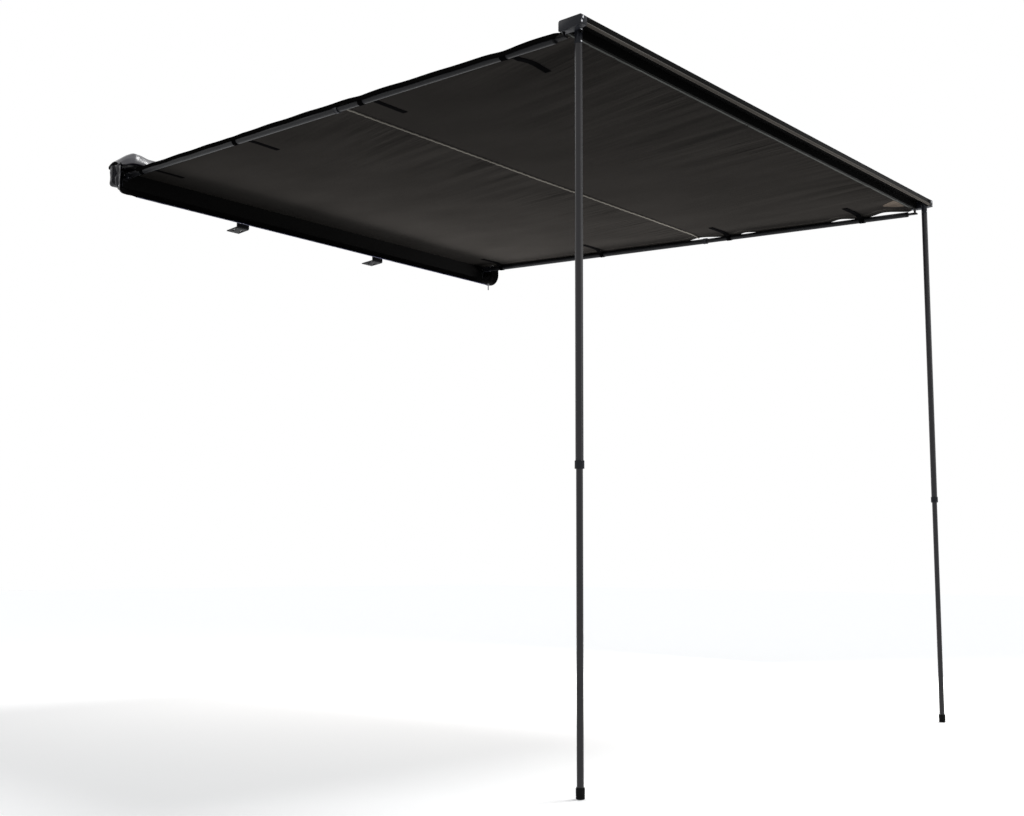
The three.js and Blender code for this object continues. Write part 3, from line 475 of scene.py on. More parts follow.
def fine_folds(tree, place):
    """Folds too fine for the mesh, behind the front rail and behind the seam, with the same slant."""
    streak_scale = (56, 3.2, 1)
    patch_scale = (3.0, 2.2, 1)
    bare, full = 0.35, 0.62
    line = make(tree, "ShaderNodeVectorMath", {0: place, 1: (1, -FOLD_SLANT, 0)}, operation="DOT_PRODUCT")
    down = make(tree, "ShaderNodeSeparateXYZ", {"Vector": place}).outputs["Y"]
    spot = make(tree, "ShaderNodeCombineXYZ", {"X": line.outputs["Value"], "Y": down}).outputs["Vector"]
    streaks = noise_of(tree, spot, 1, 2, streak_scale)
    patches = noise_of(tree, spot, 1, 1, patch_scale)
    start = FINE_FOLD_STOPS[0][0]
    end = FINE_FOLD_STOPS[-1][0]
    ramp = make(tree, "ShaderNodeValToRGB", {"Fac": ranged_between(tree, down, start, end)})
    elements = ramp.color_ramp.elements
    while len(elements) < len(FINE_FOLD_STOPS):
        elements.new(0.5)
    for element, (stop, _) in zip(elements, FINE_FOLD_STOPS):
        element.position = (stop - start) / (end - start)
    for element, (_, share) in zip(elements, FINE_FOLD_STOPS):
        element.color = (share, share, share, 1)
    patchy = multiplied(tree, ramp.outputs["Color"], ranged_between(tree, patches, bare, full))
    return multiplied(tree, streaks, patchy)


def coated_vinyl(name, colour, gloss, mirror, coat):
    """Coated cloth with a low sheen, crushed here and there."""
    clouds_scale, crush_scale, grain_scale = 6, 34, 700
    crush_relief, grain_relief = 0.0022, 0.00008
    look, tree, shader, place = start_finish(name, 0.3, 0.0, {
        "Coat Weight": coat, "Coat Roughness": 0.22, "Specular IOR Level": mirror})
    clouds = noise_of(tree, place, clouds_scale, CLOUD_DETAIL)
    tree.links.new(two_tone(tree, clouds, colour, 0.25), shader.inputs["Base Color"])
    tree.links.new(ranged(tree, clouds, *gloss), shader.inputs["Roughness"])
    crush = noise_of(tree, place, crush_scale, 3)
    grain = noise_of(tree, place, grain_scale, 2)
    normal = raised(tree, grain, grain_relief)
    tree.links.new(raised(tree, crush, crush_relief, normal), shader.inputs["Normal"])
    return look


# A hard finish has a colour, roughness, grain and relief, cloth a colour, thread pitch and relief
LOOKS = {
    # The front rail's coat, with a painted highlight, paler and warmer, along its bead
    "black_powder_coat": rail_finish("black_powder_coat", (0.0062, 0.0062, 0.0062), (0.100, 0.090, 0.080)),
    # One black coat in two copies: darker and bluish on the rafters as painted shade and reflection, paler
    # and purple-tinted on the legs as painted light
    "rafter_coat_painted_shade": grained("rafter_coat_painted_shade", (0.0110, 0.0114, 0.0130), 0.36, 1600, 0.00003, 0.12, mirror=0.13),
    "leg_coat_painted_light": grained("leg_coat_painted_light", (0.0175, 0.0162, 0.0190), 0.30, 1600, 0.00003, 0.12, mirror=0.34),
    "black_coated_steel": grained("black_coated_steel", (0.0060, 0.0060, 0.0068), 0.48, 1200, 0.00005,
                                  mirror=0.06),
    "black_plastic": grained("black_plastic", (0.0130, 0.0142, 0.0185), 0.44, 900, 0.00006, 0.14,
                             mirror=0.16),
    "zinc_steel": grained("zinc_steel", (0.50, 0.51, 0.53), 0.30, 500, 0.00004, 0.10, metallic=1.0),
    "dull_zinc": grained("dull_zinc", (0.13, 0.13, 0.14), 0.36, 500, 0.00004, 0.15, metallic=1.0),
    "black_rubber": grained("black_rubber", (0.0085, 0.0085, 0.0085), 0.82, 600, 0.0001, 0.18, mirror=0.1),
    "canopy_cloth": woven("canopy_cloth", (0.0240, 0.0226, 0.0214), 0.0009, 0.00009, creases=0.0085,
                          sheen=0.0, mirror=0.0),
    # Painted shade: the cloth's side edges, drawn near black
    "edge_painted_shade": woven("edge_painted_shade", (0.0050, 0.0048, 0.0046), 0.0012, 0.0001, sheen=0.0,
                          mirror=0.0),
    "grey_piping": woven("grey_piping", (0.21, 0.198, 0.178), 0.0012, 0.0001, mottle=0.15),
    "corner_patch": woven("corner_patch", (0.080, 0.066, 0.054), 0.0012, 0.0001, mottle=0.15, mirror=0.0),
    "front_tape": woven("front_tape", (0.068, 0.073, 0.070), 0.0012, 0.0001, mottle=0.15),
    "black_webbing": woven("black_webbing", (0.0036, 0.0036, 0.0040), 0.0016, 0.00025, sheen=0.0, mirror=0.0),
    "thread": woven("thread", (0.055, 0.051, 0.046), 0.0006, 0.00005),
    "bag_vinyl": coated_vinyl("bag_vinyl", (0.0090, 0.0085, 0.0125), (0.24, 0.40), 0.12, 0.0),
    # The bag's own vinyl on the top flap, paler and lavender-tinted as a painted highlight
    "hood_vinyl_painted_highlight": coated_vinyl("hood_vinyl_painted_highlight", (0.0200, 0.0185, 0.0270), (0.26, 0.38), 0.7, 0.2),
    # Painted shade inside the bag: its inner faces, drawn darker and duller
    "bag_inside_painted_shade": coated_vinyl("bag_inside_painted_shade", (0.0045, 0.0043, 0.0046), (0.55, 0.7), 0.06, 0.0),
    "zip_coil": grained("zip_coil", (0.060, 0.064, 0.125), 0.35, 900, 0.00004, 0.2),
    "zip_tape": woven("zip_tape", (0.006, 0.006, 0.009), 0.0008, 0.0001, sheen=0.02),
}


# Making a piece
MERGE = 0.000001
SOLID_MERGE = 0.00001


def piece(name, bm, body, slot, stands_for=(), look=None, sharp=35, inner=None):
    mesh = bpy.data.meshes.new(name)
    bm.to_mesh(mesh)
    bm.free()
    mesh.shade_smooth()
    mesh.set_sharp_from_angle(angle=math.radians(sharp))
    mesh.materials.append(LOOKS[look or slot])
    if inner:
        mesh.materials.append(LOOKS[inner])
    made = bpy.data.objects.new(name, mesh)
    bpy.context.scene.collection.objects.link(made)
    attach(made, body)
    if stands_for:
        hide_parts(*stands_for)
    return made


def spun(profile, closed=False, steps=48):
    """A line of (radius, height) points, spun about Z."""
    bm = bmesh.new()
    line = [bm.verts.new((radius, 0, height)) for radius, height in profile]
    ahead = line[1:] + line[:1] if closed else line[1:]
    edges = [bm.edges.new(pair) for pair in zip(line, ahead)]
    bmesh.ops.spin(bm, geom=line + edges, cent=(0, 0, 0), axis=(0, 0, 1), angle=math.tau, steps=steps,
                   use_merge=True)
    bmesh.ops.remove_doubles(bm, verts=bm.verts, dist=MERGE)
    bmesh.ops.recalc_face_normals(bm, faces=bm.faces)
    return bm


def thickened(bm, thickness):
    """Gives a sheet its wall, and draws back the points that a tight fold would throw far out."""
    bmesh.ops.recalc_face_normals(bm, faces=bm.faces)
    sheet = BVHTree.FromBMesh(bm)
    bmesh.ops.solidify(bm, geom=bm.faces, thickness=thickness)
    for vert in bm.verts:
        spot, _, _, gap = sheet.find_nearest(vert.co)
        if gap > 2 * thickness:
            vert.co = spot + (vert.co - spot).normalized() * thickness
    bmesh.ops.recalc_face_normals(bm, faces=bm.faces)


def tube(outer, inner, start, end, rim=0.0003):
    return spun([(inner, start), (outer - rim, start), (outer, start + rim), (outer, end - rim),
                 (outer - rim, end), (inner, end)], closed=True)


def softened(node, width):
    """A solid's own shape with its doubles merged and its edges eased."""
    sharp = 40
    bm = bmesh.new()
    bm.from_mesh(nodes[node].data)
    bmesh.ops.remove_doubles(bm, verts=bm.verts, dist=SOLID_MERGE)
    bmesh.ops.dissolve_limit(bm, angle_limit=math.radians(1), verts=bm.verts, edges=bm.edges)
    edges = [edge for edge in bm.edges if edge.is_manifold and edge.calc_face_angle(0) > math.radians(sharp)]
    bmesh.ops.bevel(bm, geom=edges, offset=width, offset_type="OFFSET", segments=2, profile=0.5,
                    affect="EDGES", clamp_overlap=True, material=-1)
    return bm


ALONG_RUN = Matrix.Rotation(math.pi / 2, 4, "X")
ALONG_LENGTH = Matrix.Rotation(math.pi / 2, 4, "Y")


def rafter_frame(side):
    """The frame of a rafter, whose -Y runs down the slope from the tilt pin."""
    return Matrix.Translation((side * RAFTER_X, -TILT_DEPTH, TILT_HEIGHT)) @ Matrix.Rotation(SLOPE, 4, "X")


def moved(bm, *steps):
    for step in steps:
        bmesh.ops.transform(bm, matrix=step, verts=bm.verts)
    return bm


# Rafters
def lock_collar(outer, over_tube, over_inner, length):
    """A twist collar with a lip over the thin tube and a ribbed grip."""
    gap = 0.0003
    lip = 0.006
    rim = 0.0006
    rib = 0.0006
    steps = 60
    steps_per_rib = 3
    same_radius = 0.00002
    back = lip - length
    waist = outer - 0.0007
    bm = spun([
        (over_tube + gap, back), (outer - rim, back), (outer, back + rim), (outer, back + 0.0022),
        (waist, back + 0.0028), (waist, lip - 0.0042), (outer, lip - 0.0036), (outer, lip - rim),
        (outer - rim, lip), (over_inner + gap, lip), (over_inner + gap, gap), (over_tube + gap, gap),
    ], closed=True, steps=steps)
    grown = (waist + rib) / waist
    for vert in bm.verts:
        turn = round(math.atan2(vert.co.y, vert.co.x) / math.tau * steps)
        if abs(math.hypot(vert.co.x, vert.co.y) - waist) < same_radius and turn % steps_per_rib:
            vert.co.x *= grown
            vert.co.y *= grown
    return bm


def pin_profile(grip):
    """A pin with a domed head above and a peened end below."""
    return [(0, -grip - 0.0013), (0.003, -grip - 0.0012), (0.0042, -grip - 0.0006), (0.0042, -grip),
            (0.003, -grip), (0.003, grip), (0.005, grip), (0.005, grip + 0.0009), (0.0042, grip + 0.0016),
            (0.0026, grip + 0.002), (0, grip + 0.002)]


def rafters():
    for end, side in ENDS:
        place = rafter_frame(side)
        body = f"{end}_rafter"
        start = SWING_STEPS[end] + TUBE_START
        lock = along(RAFTER_LOCK_DEPTH)
        tip = along(RAFTER_TIP_DEPTH)
        outer = tube(RAFTER_RADIUS, RAFTER_RADIUS - TUBE_WALL, start, lock)
        piece(f"{end}_rafter_tube", moved(outer, ALONG_RUN, place), body, "black_powder_coat",
              [f"rafter_outer_tube_{end}"], "rafter_coat_painted_shade")
        inner = tube(RAFTER_INNER_RADIUS, RAFTER_INNER_RADIUS - TUBE_WALL, lock - TUBE_OVERLAP, tip)
        piece(f"{end}_rafter_thin_tube", moved(inner, ALONG_RUN, place), f"{body}_inner",
              "black_powder_coat", [f"rafter_inner_tube_{end}"], "rafter_coat_painted_shade")
        collar = lock_collar(RAFTER_COLLAR_RADIUS, RAFTER_RADIUS, RAFTER_INNER_RADIUS, RAFTER_COLLAR_LENGTH)
        shift = Matrix.Translation((0, 0, lock))
        piece(f"{end}_rafter_collar", moved(collar, shift, ALONG_RUN, place), f"{body}_collar",
              "black_plastic", [f"rafter_lock_collar_{end}"])
        swing_place = Matrix.Translation((0, -SWING_STEPS[end], 0))
        swing = moved(spun(pin_profile(SWING_PIN_GRIP)), swing_place, place)
        piece(f"{end}_swing_pin", swing, "canopy_frame", "zinc_steel", [f"swing_pin_{end}"])
        turn = Matrix.Rotation(math.pi if side < 0 else 0, 4, "Z")
        tilt = moved(spun(pin_profile(TILT_PIN_GRIP)), ALONG_LENGTH, turn,
                     Matrix.Translation((side * RAFTER_X, -TILT_DEPTH, TILT_HEIGHT)))
        piece(f"{end}_tilt_pin", tilt, "rail_base", "zinc_steel", [f"tilt_pin_{end}"])


# Legs
def legs():
    for end, side in ENDS:
        body = f"{end}_leg"
        place = Matrix.Translation((side * LEG_X, -LEG_DEPTHS[end], 0))
        upper = tube(LEG_RADIUS, LEG_RADIUS - TUBE_WALL, LEG_LOCK, LEG_TUBE_TOP)
        piece(f"{end}_leg_tube", moved(upper, place), body, "black_powder_coat",
              [f"leg_upper_tube_{end}"], "leg_coat_painted_light")
        lower = tube(LEG_LOWER_RADIUS, LEG_LOWER_RADIUS - TUBE_WALL, LEG_TUBE_FOOT, LEG_LOCK + LEG_OVERLAP)
        piece(f"{end}_leg_thin_tube", moved(lower, place), f"{body}_lower", "black_powder_coat",
              [f"leg_lower_tube_{end}"], "leg_coat_painted_light")
        collar = lock_collar(LEG_COLLAR_RADIUS, LEG_RADIUS, LEG_LOWER_RADIUS, LEG_COLLAR_LENGTH)
        turned_over = Matrix.Rotation(math.pi, 4, "X")
        piece(f"{end}_leg_collar", moved(collar, turned_over, Matrix.Translation((0, 0, LEG_LOCK)), place),
              f"{body}_collar", "black_plastic", [f"leg_lock_collar_{end}"])
        foot = moved(spun(FOOT_PROFILE), Matrix.Translation((0, 0, GROUND)), place)
        piece(f"{end}_leg_foot", foot, f"{body}_lower", "black_rubber", [f"leg_foot_{end}"])
        pin = moved(spun(pin_profile(LEG_PIN_GRIP)), ALONG_RUN, Matrix.Translation((0, 0, LEG_PIVOT)), place)
        piece(f"{end}_leg_pin", pin, "front_beam", "zinc_steel", [f"leg_pivot_pin_{end}"])


# Solids that keep their shape, with eased edges
def eased_solids():
    rows = [("rear_rail", "rail_base", "black_powder_coat", 0.0004),
            ("front_rail", "front_beam", "black_powder_coat", 0.0004),
            ("zip_slider", "slider", "zinc_steel", 0.0005)]
    for end, _ in ENDS:
        rows += [
            (f"rear_end_plate_{end}", "rail_base", "black_plastic", 0.0006),
            (f"roof_bracket_{end}", "rail_base", "black_coated_steel", 0.0005),
            (f"bracket_bolt_{end}", "rail_base", "zinc_steel", 0.0004),
            (f"bracket_nut_{end}", "rail_base", "zinc_steel", 0.0005),
            (f"hinge_bracket_{end}", "rail_base", "black_coated_steel", 0.0005),
            (f"hinge_block_{end}", "canopy_frame", "black_plastic", 0.0008),
            (f"rafter_knuckle_{end}", f"{end}_rafter", "black_plastic", 0.0006),
            (f"rafter_tip_{end}", f"{end}_rafter_inner", "black_coated_steel", 0.0004),
            (f"end_cap_{end}", "front_beam", "black_plastic", 0.0006),
            (f"leg_bracket_{end}", "front_beam", "black_coated_steel", 0.0005),
            (f"leg_knuckle_{end}", f"{end}_leg", "black_plastic", 0.0006),
        ]
    for node, body, slot, width in rows:
        look = "dull_zinc" if node == "zip_slider" else slot
        piece(f"{node}_eased", softened(node, width), body, slot, [node], look)


# Canopy
def half_width(depth, side):
    """Where the cloth's edge runs: nearly straight at the near end, and slack between some far straps."""
    if side < 0:
        return NEAR_EDGE - EDGE_WAVE * math.sin(depth * NEAR_WAVES)
    slack = sum(width * math.exp(-((depth - middle) / reach) ** 2) for middle, reach, width in FAR_GAPS)
    return FAR_EDGE - slack - EDGE_WAVE * math.sin(depth * FAR_WAVES)


def ripple(x, y, seed, across, along, height):
    """Smooth lumps, so many in a metre each way, and so high."""
    return height * noise.noise((x * across, y * along, seed))


def fold_height(x, depth):
    """Fine folds that run back from the front rail and from the seam, slanting across the cloth."""
    height = 0.0
    for start, reach, strength, seed in FOLD_STARTS:
        back = start - depth
        if back <= 0:
            continue
        line = x - FOLD_SLANT * back
        folds = ripple(line, back, seed, *WIDE_FOLDS) + ripple(line, back, seed + 20, *FINE_FOLDS)
        patch = smooth(ripple(line, back, seed + 40, *FOLD_PATCHES) + FOLD_COVER)
        fade = smooth(back / FOLD_RISE) * math.exp(-(back / reach) ** 2)
        height += strength * patch * fade * folds
    return height


def strap_pull(x, depth, side):
    """How far the straps draw the edge down at their places."""
    inward = half_width(depth, side) - side * x
    if inward > PULL_LIMIT:
        return 0.0
    close = sum(math.exp(-((depth - strap) / STRAP_REACH) ** 2) for strap in STRAP_DEPTHS.values())
    all_along, at_strap, spread = PULLS[side]
    level = all_along + at_strap * close
    return level * math.exp(-(max(inward, 0) / spread) ** 2) * edge_share(depth)


def edge_share(depth):
    """One along the rafter, and nothing close to the rails."""
    rear, rear_run = EDGE_REAR
    front, front_run = EDGE_FRONT
    return smooth((depth - rear) / rear_run) * smooth((front - depth) / front_run)


def near_edge_point(step, depth):
    """The cloth's near edge hangs over the rafter's outer side; step 0 is its lowest line."""
    offset, rise = EDGE_FALL[EDGE_COLUMNS - 1 - step]
    inmost, narrowing = EDGE_FLAT
    flat = inmost - narrowing * (1 - step / (EDGE_COLUMNS - 1))
    over = edge_share(depth)
    x = -RAFTER_X + offset * over + flat * (1 - over)
    level = canopy_height(-EDGE_START, depth)
    hung = level + rise - EDGE_FALL[0][1] - strap_pull(-NEAR_EDGE, depth, -1) * EDGE_PULL
    wave = HUNG_WAVE * math.sin(depth * HUNG_WAVES) * (1 - step / EDGE_COLUMNS)
    return Vector((x, -depth, hung * over + canopy_height(x, depth) * (1 - over) + wave * over))


def canopy_height(x, depth):
    """The slope from rail to rail, with its sag, waves, folds and the puckers along the seam."""
    rear_hold, front_hold, wave_hold = 0.03, 0.012, 0.15
    calmest, calm_run = 0.15, 0.04
    pucker_height, pucker_waves, pucker_reach = 0.0006, 190, 0.03
    share = min(max((depth - CANOPY_REAR[0]) / CANOPY_RUN, 0.0), 1.0)
    level = CANOPY_REAR[1] + (CANOPY_FRONT[1] - CANOPY_REAR[1]) * share
    across = max(1 - (x / NEAR_EDGE) ** 2, 0)
    sag = 4 * CANOPY_SAG * share * (1 - share) * across
    held = smooth(share / rear_hold) * smooth((1 - share) / front_hold)
    waves = ripple(x, depth, 5.0, *SLOW_WAVES) * smooth(share / wave_hold) * smooth((1 - share) / wave_hold)
    small = ripple(x, depth, 15.0, *SMALL_WAVES)
    pull = strap_pull(x, depth, -1) + strap_pull(x, depth, 1)
    lip = max(x - RAFTER_X, 0) ** 2 / (2 * RAFTER_RADIUS) * edge_share(depth)
    calm = calmest + (1 - calmest) * smooth((half_width(depth, 1) - x) / calm_run)
    stray = 2 * noise.noise((x * 5, 0, 0))
    near_seam = math.exp(-((depth - SEAM_DEPTH) / pucker_reach) ** 2)
    pucker = pucker_height * math.sin(x * pucker_waves + stray) * near_seam
    return level - sag + held * calm * (waves + small + fold_height(x, depth) + pucker) - pull - lip


def canopy_point(x, depth, lift=0.0):
    return Vector((x, -depth, canopy_height(x, depth) + lift))


def on_canopy(name, slot, point_at, columns, rows, thickness, look=None):
    """A strip laid on the canopy: point_at takes shares from 0 to 1, across and along."""
    bm = bmesh.new()
    bmesh.ops.create_grid(bm, x_segments=columns, y_segments=rows, size=0.5)
    for vert in bm.verts:
        vert.co = point_at(vert.co.x + 0.5, vert.co.y + 0.5)
    thickened(bm, thickness)
    return piece(name, bm, "canopy_frame", slot, look=look, sharp=60)


def follow_travel(made):
    """Gives the piece a mesh of its own."""
    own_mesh(made)


def side_strip(side, inset, width, drop):
    """Where a strip along one side of the canopy lies, under the cloth."""
    def point_at(across, down):
        depth = CANOPY_REAR[0] + CANOPY_RUN * (HEM_START + HEM_SHARE * down)
        x = side * (half_width(depth, side) - inset - width * across)
        return canopy_point(x, depth, -CANOPY_CLOTH - drop)
    return point_at


def seam_at(across, down):
    near = half_width(SEAM_DEPTH, -1)
    x = -near + down * (near + half_width(SEAM_DEPTH, 1))
    return canopy_point(x, SEAM_DEPTH - SEAM_LAP * across, -CANOPY_CLOTH - STRIP_DROP)


def front_tape_at(across, down):
    x = (2 * down - 1) * FRONT_TAPE_HALF
    return canopy_point(x, FRONT_TAPE_DEPTH + FRONT_TAPE_WIDTH * across, -CANOPY_CLOTH - STRIP_DROP)


def corner_patch_at(across, down):
    """A triangle with its tip cut off, wider towards the front rail."""
    tip, depth = PATCH_TIP
    down = PATCH_CUT + (1 - PATCH_CUT) * down
    x = tip + (PATCH_START + PATCH_WIDTH * across - tip) * down
    return canopy_point(x, depth + PATCH_LENGTH * down, -CANOPY_CLOTH - PATCH_DROP)


def canopy_cloth():
    bm = bmesh.new()
    bmesh.ops.create_grid(bm, x_segments=CANOPY_COLUMNS, y_segments=CANOPY_ROWS, size=1)
    for vert in bm.verts:
        depth = CANOPY_REAR[0] + CANOPY_RUN * (1 - vert.co.y) / 2
        column = round((vert.co.x + 1) / 2 * CANOPY_COLUMNS)
        if column < EDGE_COLUMNS:
            vert.co = near_edge_point(column, depth)
            continue
        share = (column - EDGE_COLUMNS + 1) / (CANOPY_COLUMNS - EDGE_COLUMNS + 1)
        x = -EDGE_START + share * (EDGE_START + half_width(depth, 1))
        vert.co = canopy_point(x, depth)
    thickened(bm, CANOPY_CLOTH)
    # The faces along both side edges get the painted shade
    for face in bm.faces:
        middle = face.calc_center_median()
        if middle.x < -SHADED_EDGE_X or middle.x > half_width(-middle.y, 1) - SHADED_EDGE_WIDTH:
            face.material_index = 1
    return piece("canopy_cloth_sheet", bm, "canopy_frame", "canopy_cloth", ["canopy"], sharp=80,
                 inner="edge_painted_shade")


def canopy():
    """The cloth and what is sewn to it."""
    cloth = canopy_cloth()
    parts = []
    for end, side in ENDS:
        parts.append(on_canopy(f"{end}_hem", "canopy_cloth", side_strip(side, *HEM), 3, HEM_ROWS,
                               HEM_CLOTH))
        # The pale strip at the hem's inner edge is a painted highlight
        parts.append(on_canopy(f"{end}_hem_edge_highlight", "grey_piping", side_strip(side, *HEM_EDGE_HIGHLIGHT), 1, HEM_ROWS,
                               HEM_HIGHLIGHT_CLOTH, "thread"))
    parts.append(on_canopy("seam_overlap", "canopy_cloth", seam_at, 2, SEAM_COLUMNS, HEM_CLOTH))
    parts.append(on_canopy("front_hem_tape", "grey_piping", front_tape_at, 2, SEAM_COLUMNS, HEM_CLOTH,
                           "front_tape"))
    parts.append(on_canopy("far_corner_patch", "grey_piping", corner_patch_at, 8, 8, HEM_CLOTH,
                           "corner_patch"))
    parts.append(seam_piping())
    parts.append(stitching())
    for made in [cloth, *parts]:
        follow_travel(made)


def seam_piping():
    """A thin pale cord sewn into the seam, under the cloth."""
    radius = 0.0027
    inset = 0.004
    behind = 0.0015
    sides = 10
    low = -half_width(SEAM_DEPTH, -1) + inset
    high = half_width(SEAM_DEPTH, 1) - inset
    bm = bmesh.new()
    bmesh.ops.create_circle(bm, cap_ends=False, segments=sides, radius=radius)
    moved(bm, ALONG_LENGTH)
    ring = list(bm.edges)
    for _ in range(SEAM_COLUMNS):
        made = bmesh.ops.extrude_edge_only(bm, edges=ring)["geom"]
        ring = [part for part in made if isinstance(part, bmesh.types.BMEdge)]
        verts = [part for part in made if isinstance(part, bmesh.types.BMVert)]
        bmesh.ops.translate(bm, vec=((high - low) / SEAM_COLUMNS, 0, 0), verts=verts)
    for vert in bm.verts:
        x = low + vert.co.x
        core = canopy_point(x, SEAM_DEPTH + behind, -CANOPY_CLOTH - radius * 0.8)
        vert.co = core + Vector((0, vert.co.y, vert.co.z))
    bmesh.ops.holes_fill(bm, edges=bm.edges)
    bmesh.ops.recalc_face_normals(bm, faces=bm.faces)
    return piece("seam_piping", bm, "canopy_frame", "grey_piping")


def stitching():
    """Rows of thread along the hems and the seam."""
    pitch = 0.0048
    end_gap = 0.02
    hem_inset = 0.0255
    seam_gap = 0.006
    seam_run = 1.93
    seam_rows = (0.0035, 0.0115)
    long, thin = 0.0017, 0.0003
    drop = CANOPY_CLOTH + 0.0011
    rows = []
    for _, side in ENDS:
        for k in range(int((CANOPY_RUN - 2 * end_gap) / pitch)):
            depth = CANOPY_REAR[0] + end_gap + k * pitch
            rows.append((side * (half_width(depth, side) - hem_inset), depth, (thin, long, thin)))
    low = -half_width(SEAM_DEPTH, -1) + seam_gap
    count = int(seam_run / pitch)
    for row in seam_rows:
        rows += [(low + k * pitch, SEAM_DEPTH - row, (long, thin, thin)) for k in range(count)]
    bm = bmesh.new()
    for x, depth, size in rows:
        place = Matrix.Translation(canopy_point(x, depth, -drop)) @ Matrix.Diagonal((*size, 1))
        bmesh.ops.create_icosphere(bm, subdivisions=1, radius=1, matrix=place)
    return piece("canopy_stitching", bm, "canopy_frame", "grey_piping", look="thread")


def strap_tail(end, side, depth, width, thick, ring_middle):
    """The strap's free end, from the loop up to the canopy and along under it."""
    leave_angle = 0.6
    sewn_from = 0.03
    draw_run = 0.020
    reach_all = TAIL_REACH[end]
    centre = rafter_frame(side) @ Vector((0, -along(depth), 0))
    leave = Vector((ring_middle * math.cos(leave_angle), ring_middle * math.sin(leave_angle)))
    bm = bmesh.new()
    bmesh.ops.create_grid(bm, x_segments=36, y_segments=6, size=0.5)
    for vert in bm.verts:
        share = vert.co.x + 0.5
        here = depth + vert.co.y * width
        reach = reach_all * share
        height = canopy_height(side * (RAFTER_X - max(reach, sewn_from)), here) - CANOPY_CLOTH - thick
        drawn = smooth((reach - leave.x) / draw_run)
        z = (centre.z + leave.y) * (1 - drawn) + height * drawn
        slant = (depth - here) * math.tan(SLOPE)
        inward = leave.x + reach * (reach_all - leave.x) / reach_all
        vert.co = (side * (RAFTER_X - inward), -here, z + slant * (1 - drawn))
    thickened(bm, thick * 0.8)
    return bm


def straps():
    """Webbing loops round the rafters, each with a tail sewn under the canopy."""
    width = 0.022
    half = width / 2
    thick = 0.0014
    gap = 0.0003
    rim = 0.0004
    for end, side in ENDS:
        for order, depth in STRAP_DEPTHS.items():
            radius = RAFTER_RADIUS if depth < RAFTER_LOCK_DEPTH else RAFTER_INNER_RADIUS
            ring_in = radius + gap
            ring = spun([(ring_in, -half), (ring_in + thick - rim, -half), (ring_in + thick, rim - half),
                         (ring_in + thick, half - rim), (ring_in + thick - rim, half), (ring_in, half)],
                        closed=True)
            moved(ring, ALONG_RUN, rafter_frame(side) @ Matrix.Translation((0, -along(depth), 0)))
            tail = strap_tail(end, side, depth, width, thick, ring_in + thick / 2)
            spare = bpy.data.meshes.new("spare")
            tail.to_mesh(spare)
            tail.free()
            ring.from_mesh(spare)
            bpy.data.meshes.remove(spare)
            made = piece(f"{end}_strap_{order}", ring, "canopy_frame", "black_webbing",
                         [f"strap_{end}_{order}"], sharp=50)
            follow_travel(made)


# Bag
def crumple(place, size, seed):
    """Sharp ridges between flat facets, as in crushed vinyl."""
    bend = 0.35
    spot = Vector(place) / size + Vector((seed, seed * 0.7, seed * 0.3))
    spot += bend * noise.noise_vector(spot * 0.7)
    return noise.noise(spot, noise_basis="VORONOI_F2F1")


def belly(share):
    """The lower flap's section, from the rail's groove down to its zip edge: depth and height."""
    points = ((0.0235, 0.038), (0.045, 0.006), (0.093, ZIP_HEIGHT))
    weights = ((1 - share) ** 2, 2 * share * (1 - share), share ** 2)
    return tuple(sum(weight * point[k] for weight, point in zip(weights, points)) for k in (0, 1))


def pocket_rise(x, side):
    """How far the flap has curved up at x towards its end wall."""
    radius = POCKET_RADII[side]
    over = min(max(abs(x) - BAG_HALF + radius, 0.0), radius)
    return radius - math.sqrt(radius ** 2 - over ** 2)


def lower_flap_point(across, share):
    """across runs from -1 at the near pocket's top to 1 at the far one's, share from the rail to the zip."""
    depth, bottom = belly(share)
    side = -1 if across < 0 else 1
    radius = POCKET_RADII[side]
    flat = BAG_HALF - radius
    arc = radius * math.pi / 2
    top = POCKET_TOP - POCKET_DIP * share ** 2
    wall = top - ZIP_HEIGHT - radius
    run = abs(across) * (flat + arc + wall)
    if run <= flat:
        return Vector((side * run, -depth, bottom))
    turn = min((run - flat) / radius, math.pi / 2)
    x = flat + radius * math.sin(turn)
    curved = bottom + radius * (1 - math.cos(turn))
    if run <= flat + arc:
        return Vector((side * x, -depth, curved))
    climbed = (run - flat - arc) / wall
    return Vector((side * BAG_HALF, -depth, curved + (top - curved) * climbed))


def pocket_back_point(share, up, side):
    """share runs from the end wall round to the rail's back, up from the flap's rear edge to the top."""
    start, groove = belly(0)
    lap = start + 0.001
    tuck = start + 0.0006
    lift, bulge = 0.006, 0.004
    closing = 0.3
    straight = lap - (POCKET_BACK + POCKET_TURN)
    turn_run = POCKET_TURN * math.pi / 2
    inner = BAG_HALF - POCKET_TURN - POCKET_INNER
    run = share * (straight + turn_run + inner)
    if run < straight:
        x, depth = BAG_HALF, lap - run
    elif run < straight + turn_run:
        angle = (run - straight) / POCKET_TURN
        x = BAG_HALF - POCKET_TURN * (1 - math.cos(angle))
        depth = POCKET_BACK + POCKET_TURN * (1 - math.sin(angle))
    else:
        x = BAG_HALF - POCKET_TURN - (run - straight - turn_run)
        depth = POCKET_BACK
    rise = pocket_rise(x, side)
    low = groove + lift * smooth(share * 2) + rise
    if up >= closing:
        return Vector((side * x, -depth, low + (POCKET_TOP - low) * (up - closing) / (1 - closing)))
    turn = up / closing * math.pi / 2
    shut = 1 - math.sin(turn)
    return Vector((side * x, -(depth + (tuck - depth) * shut),
                   low + (groove + rise - low) * shut - bulge * math.sin(2 * turn) * smooth(share * 5)))


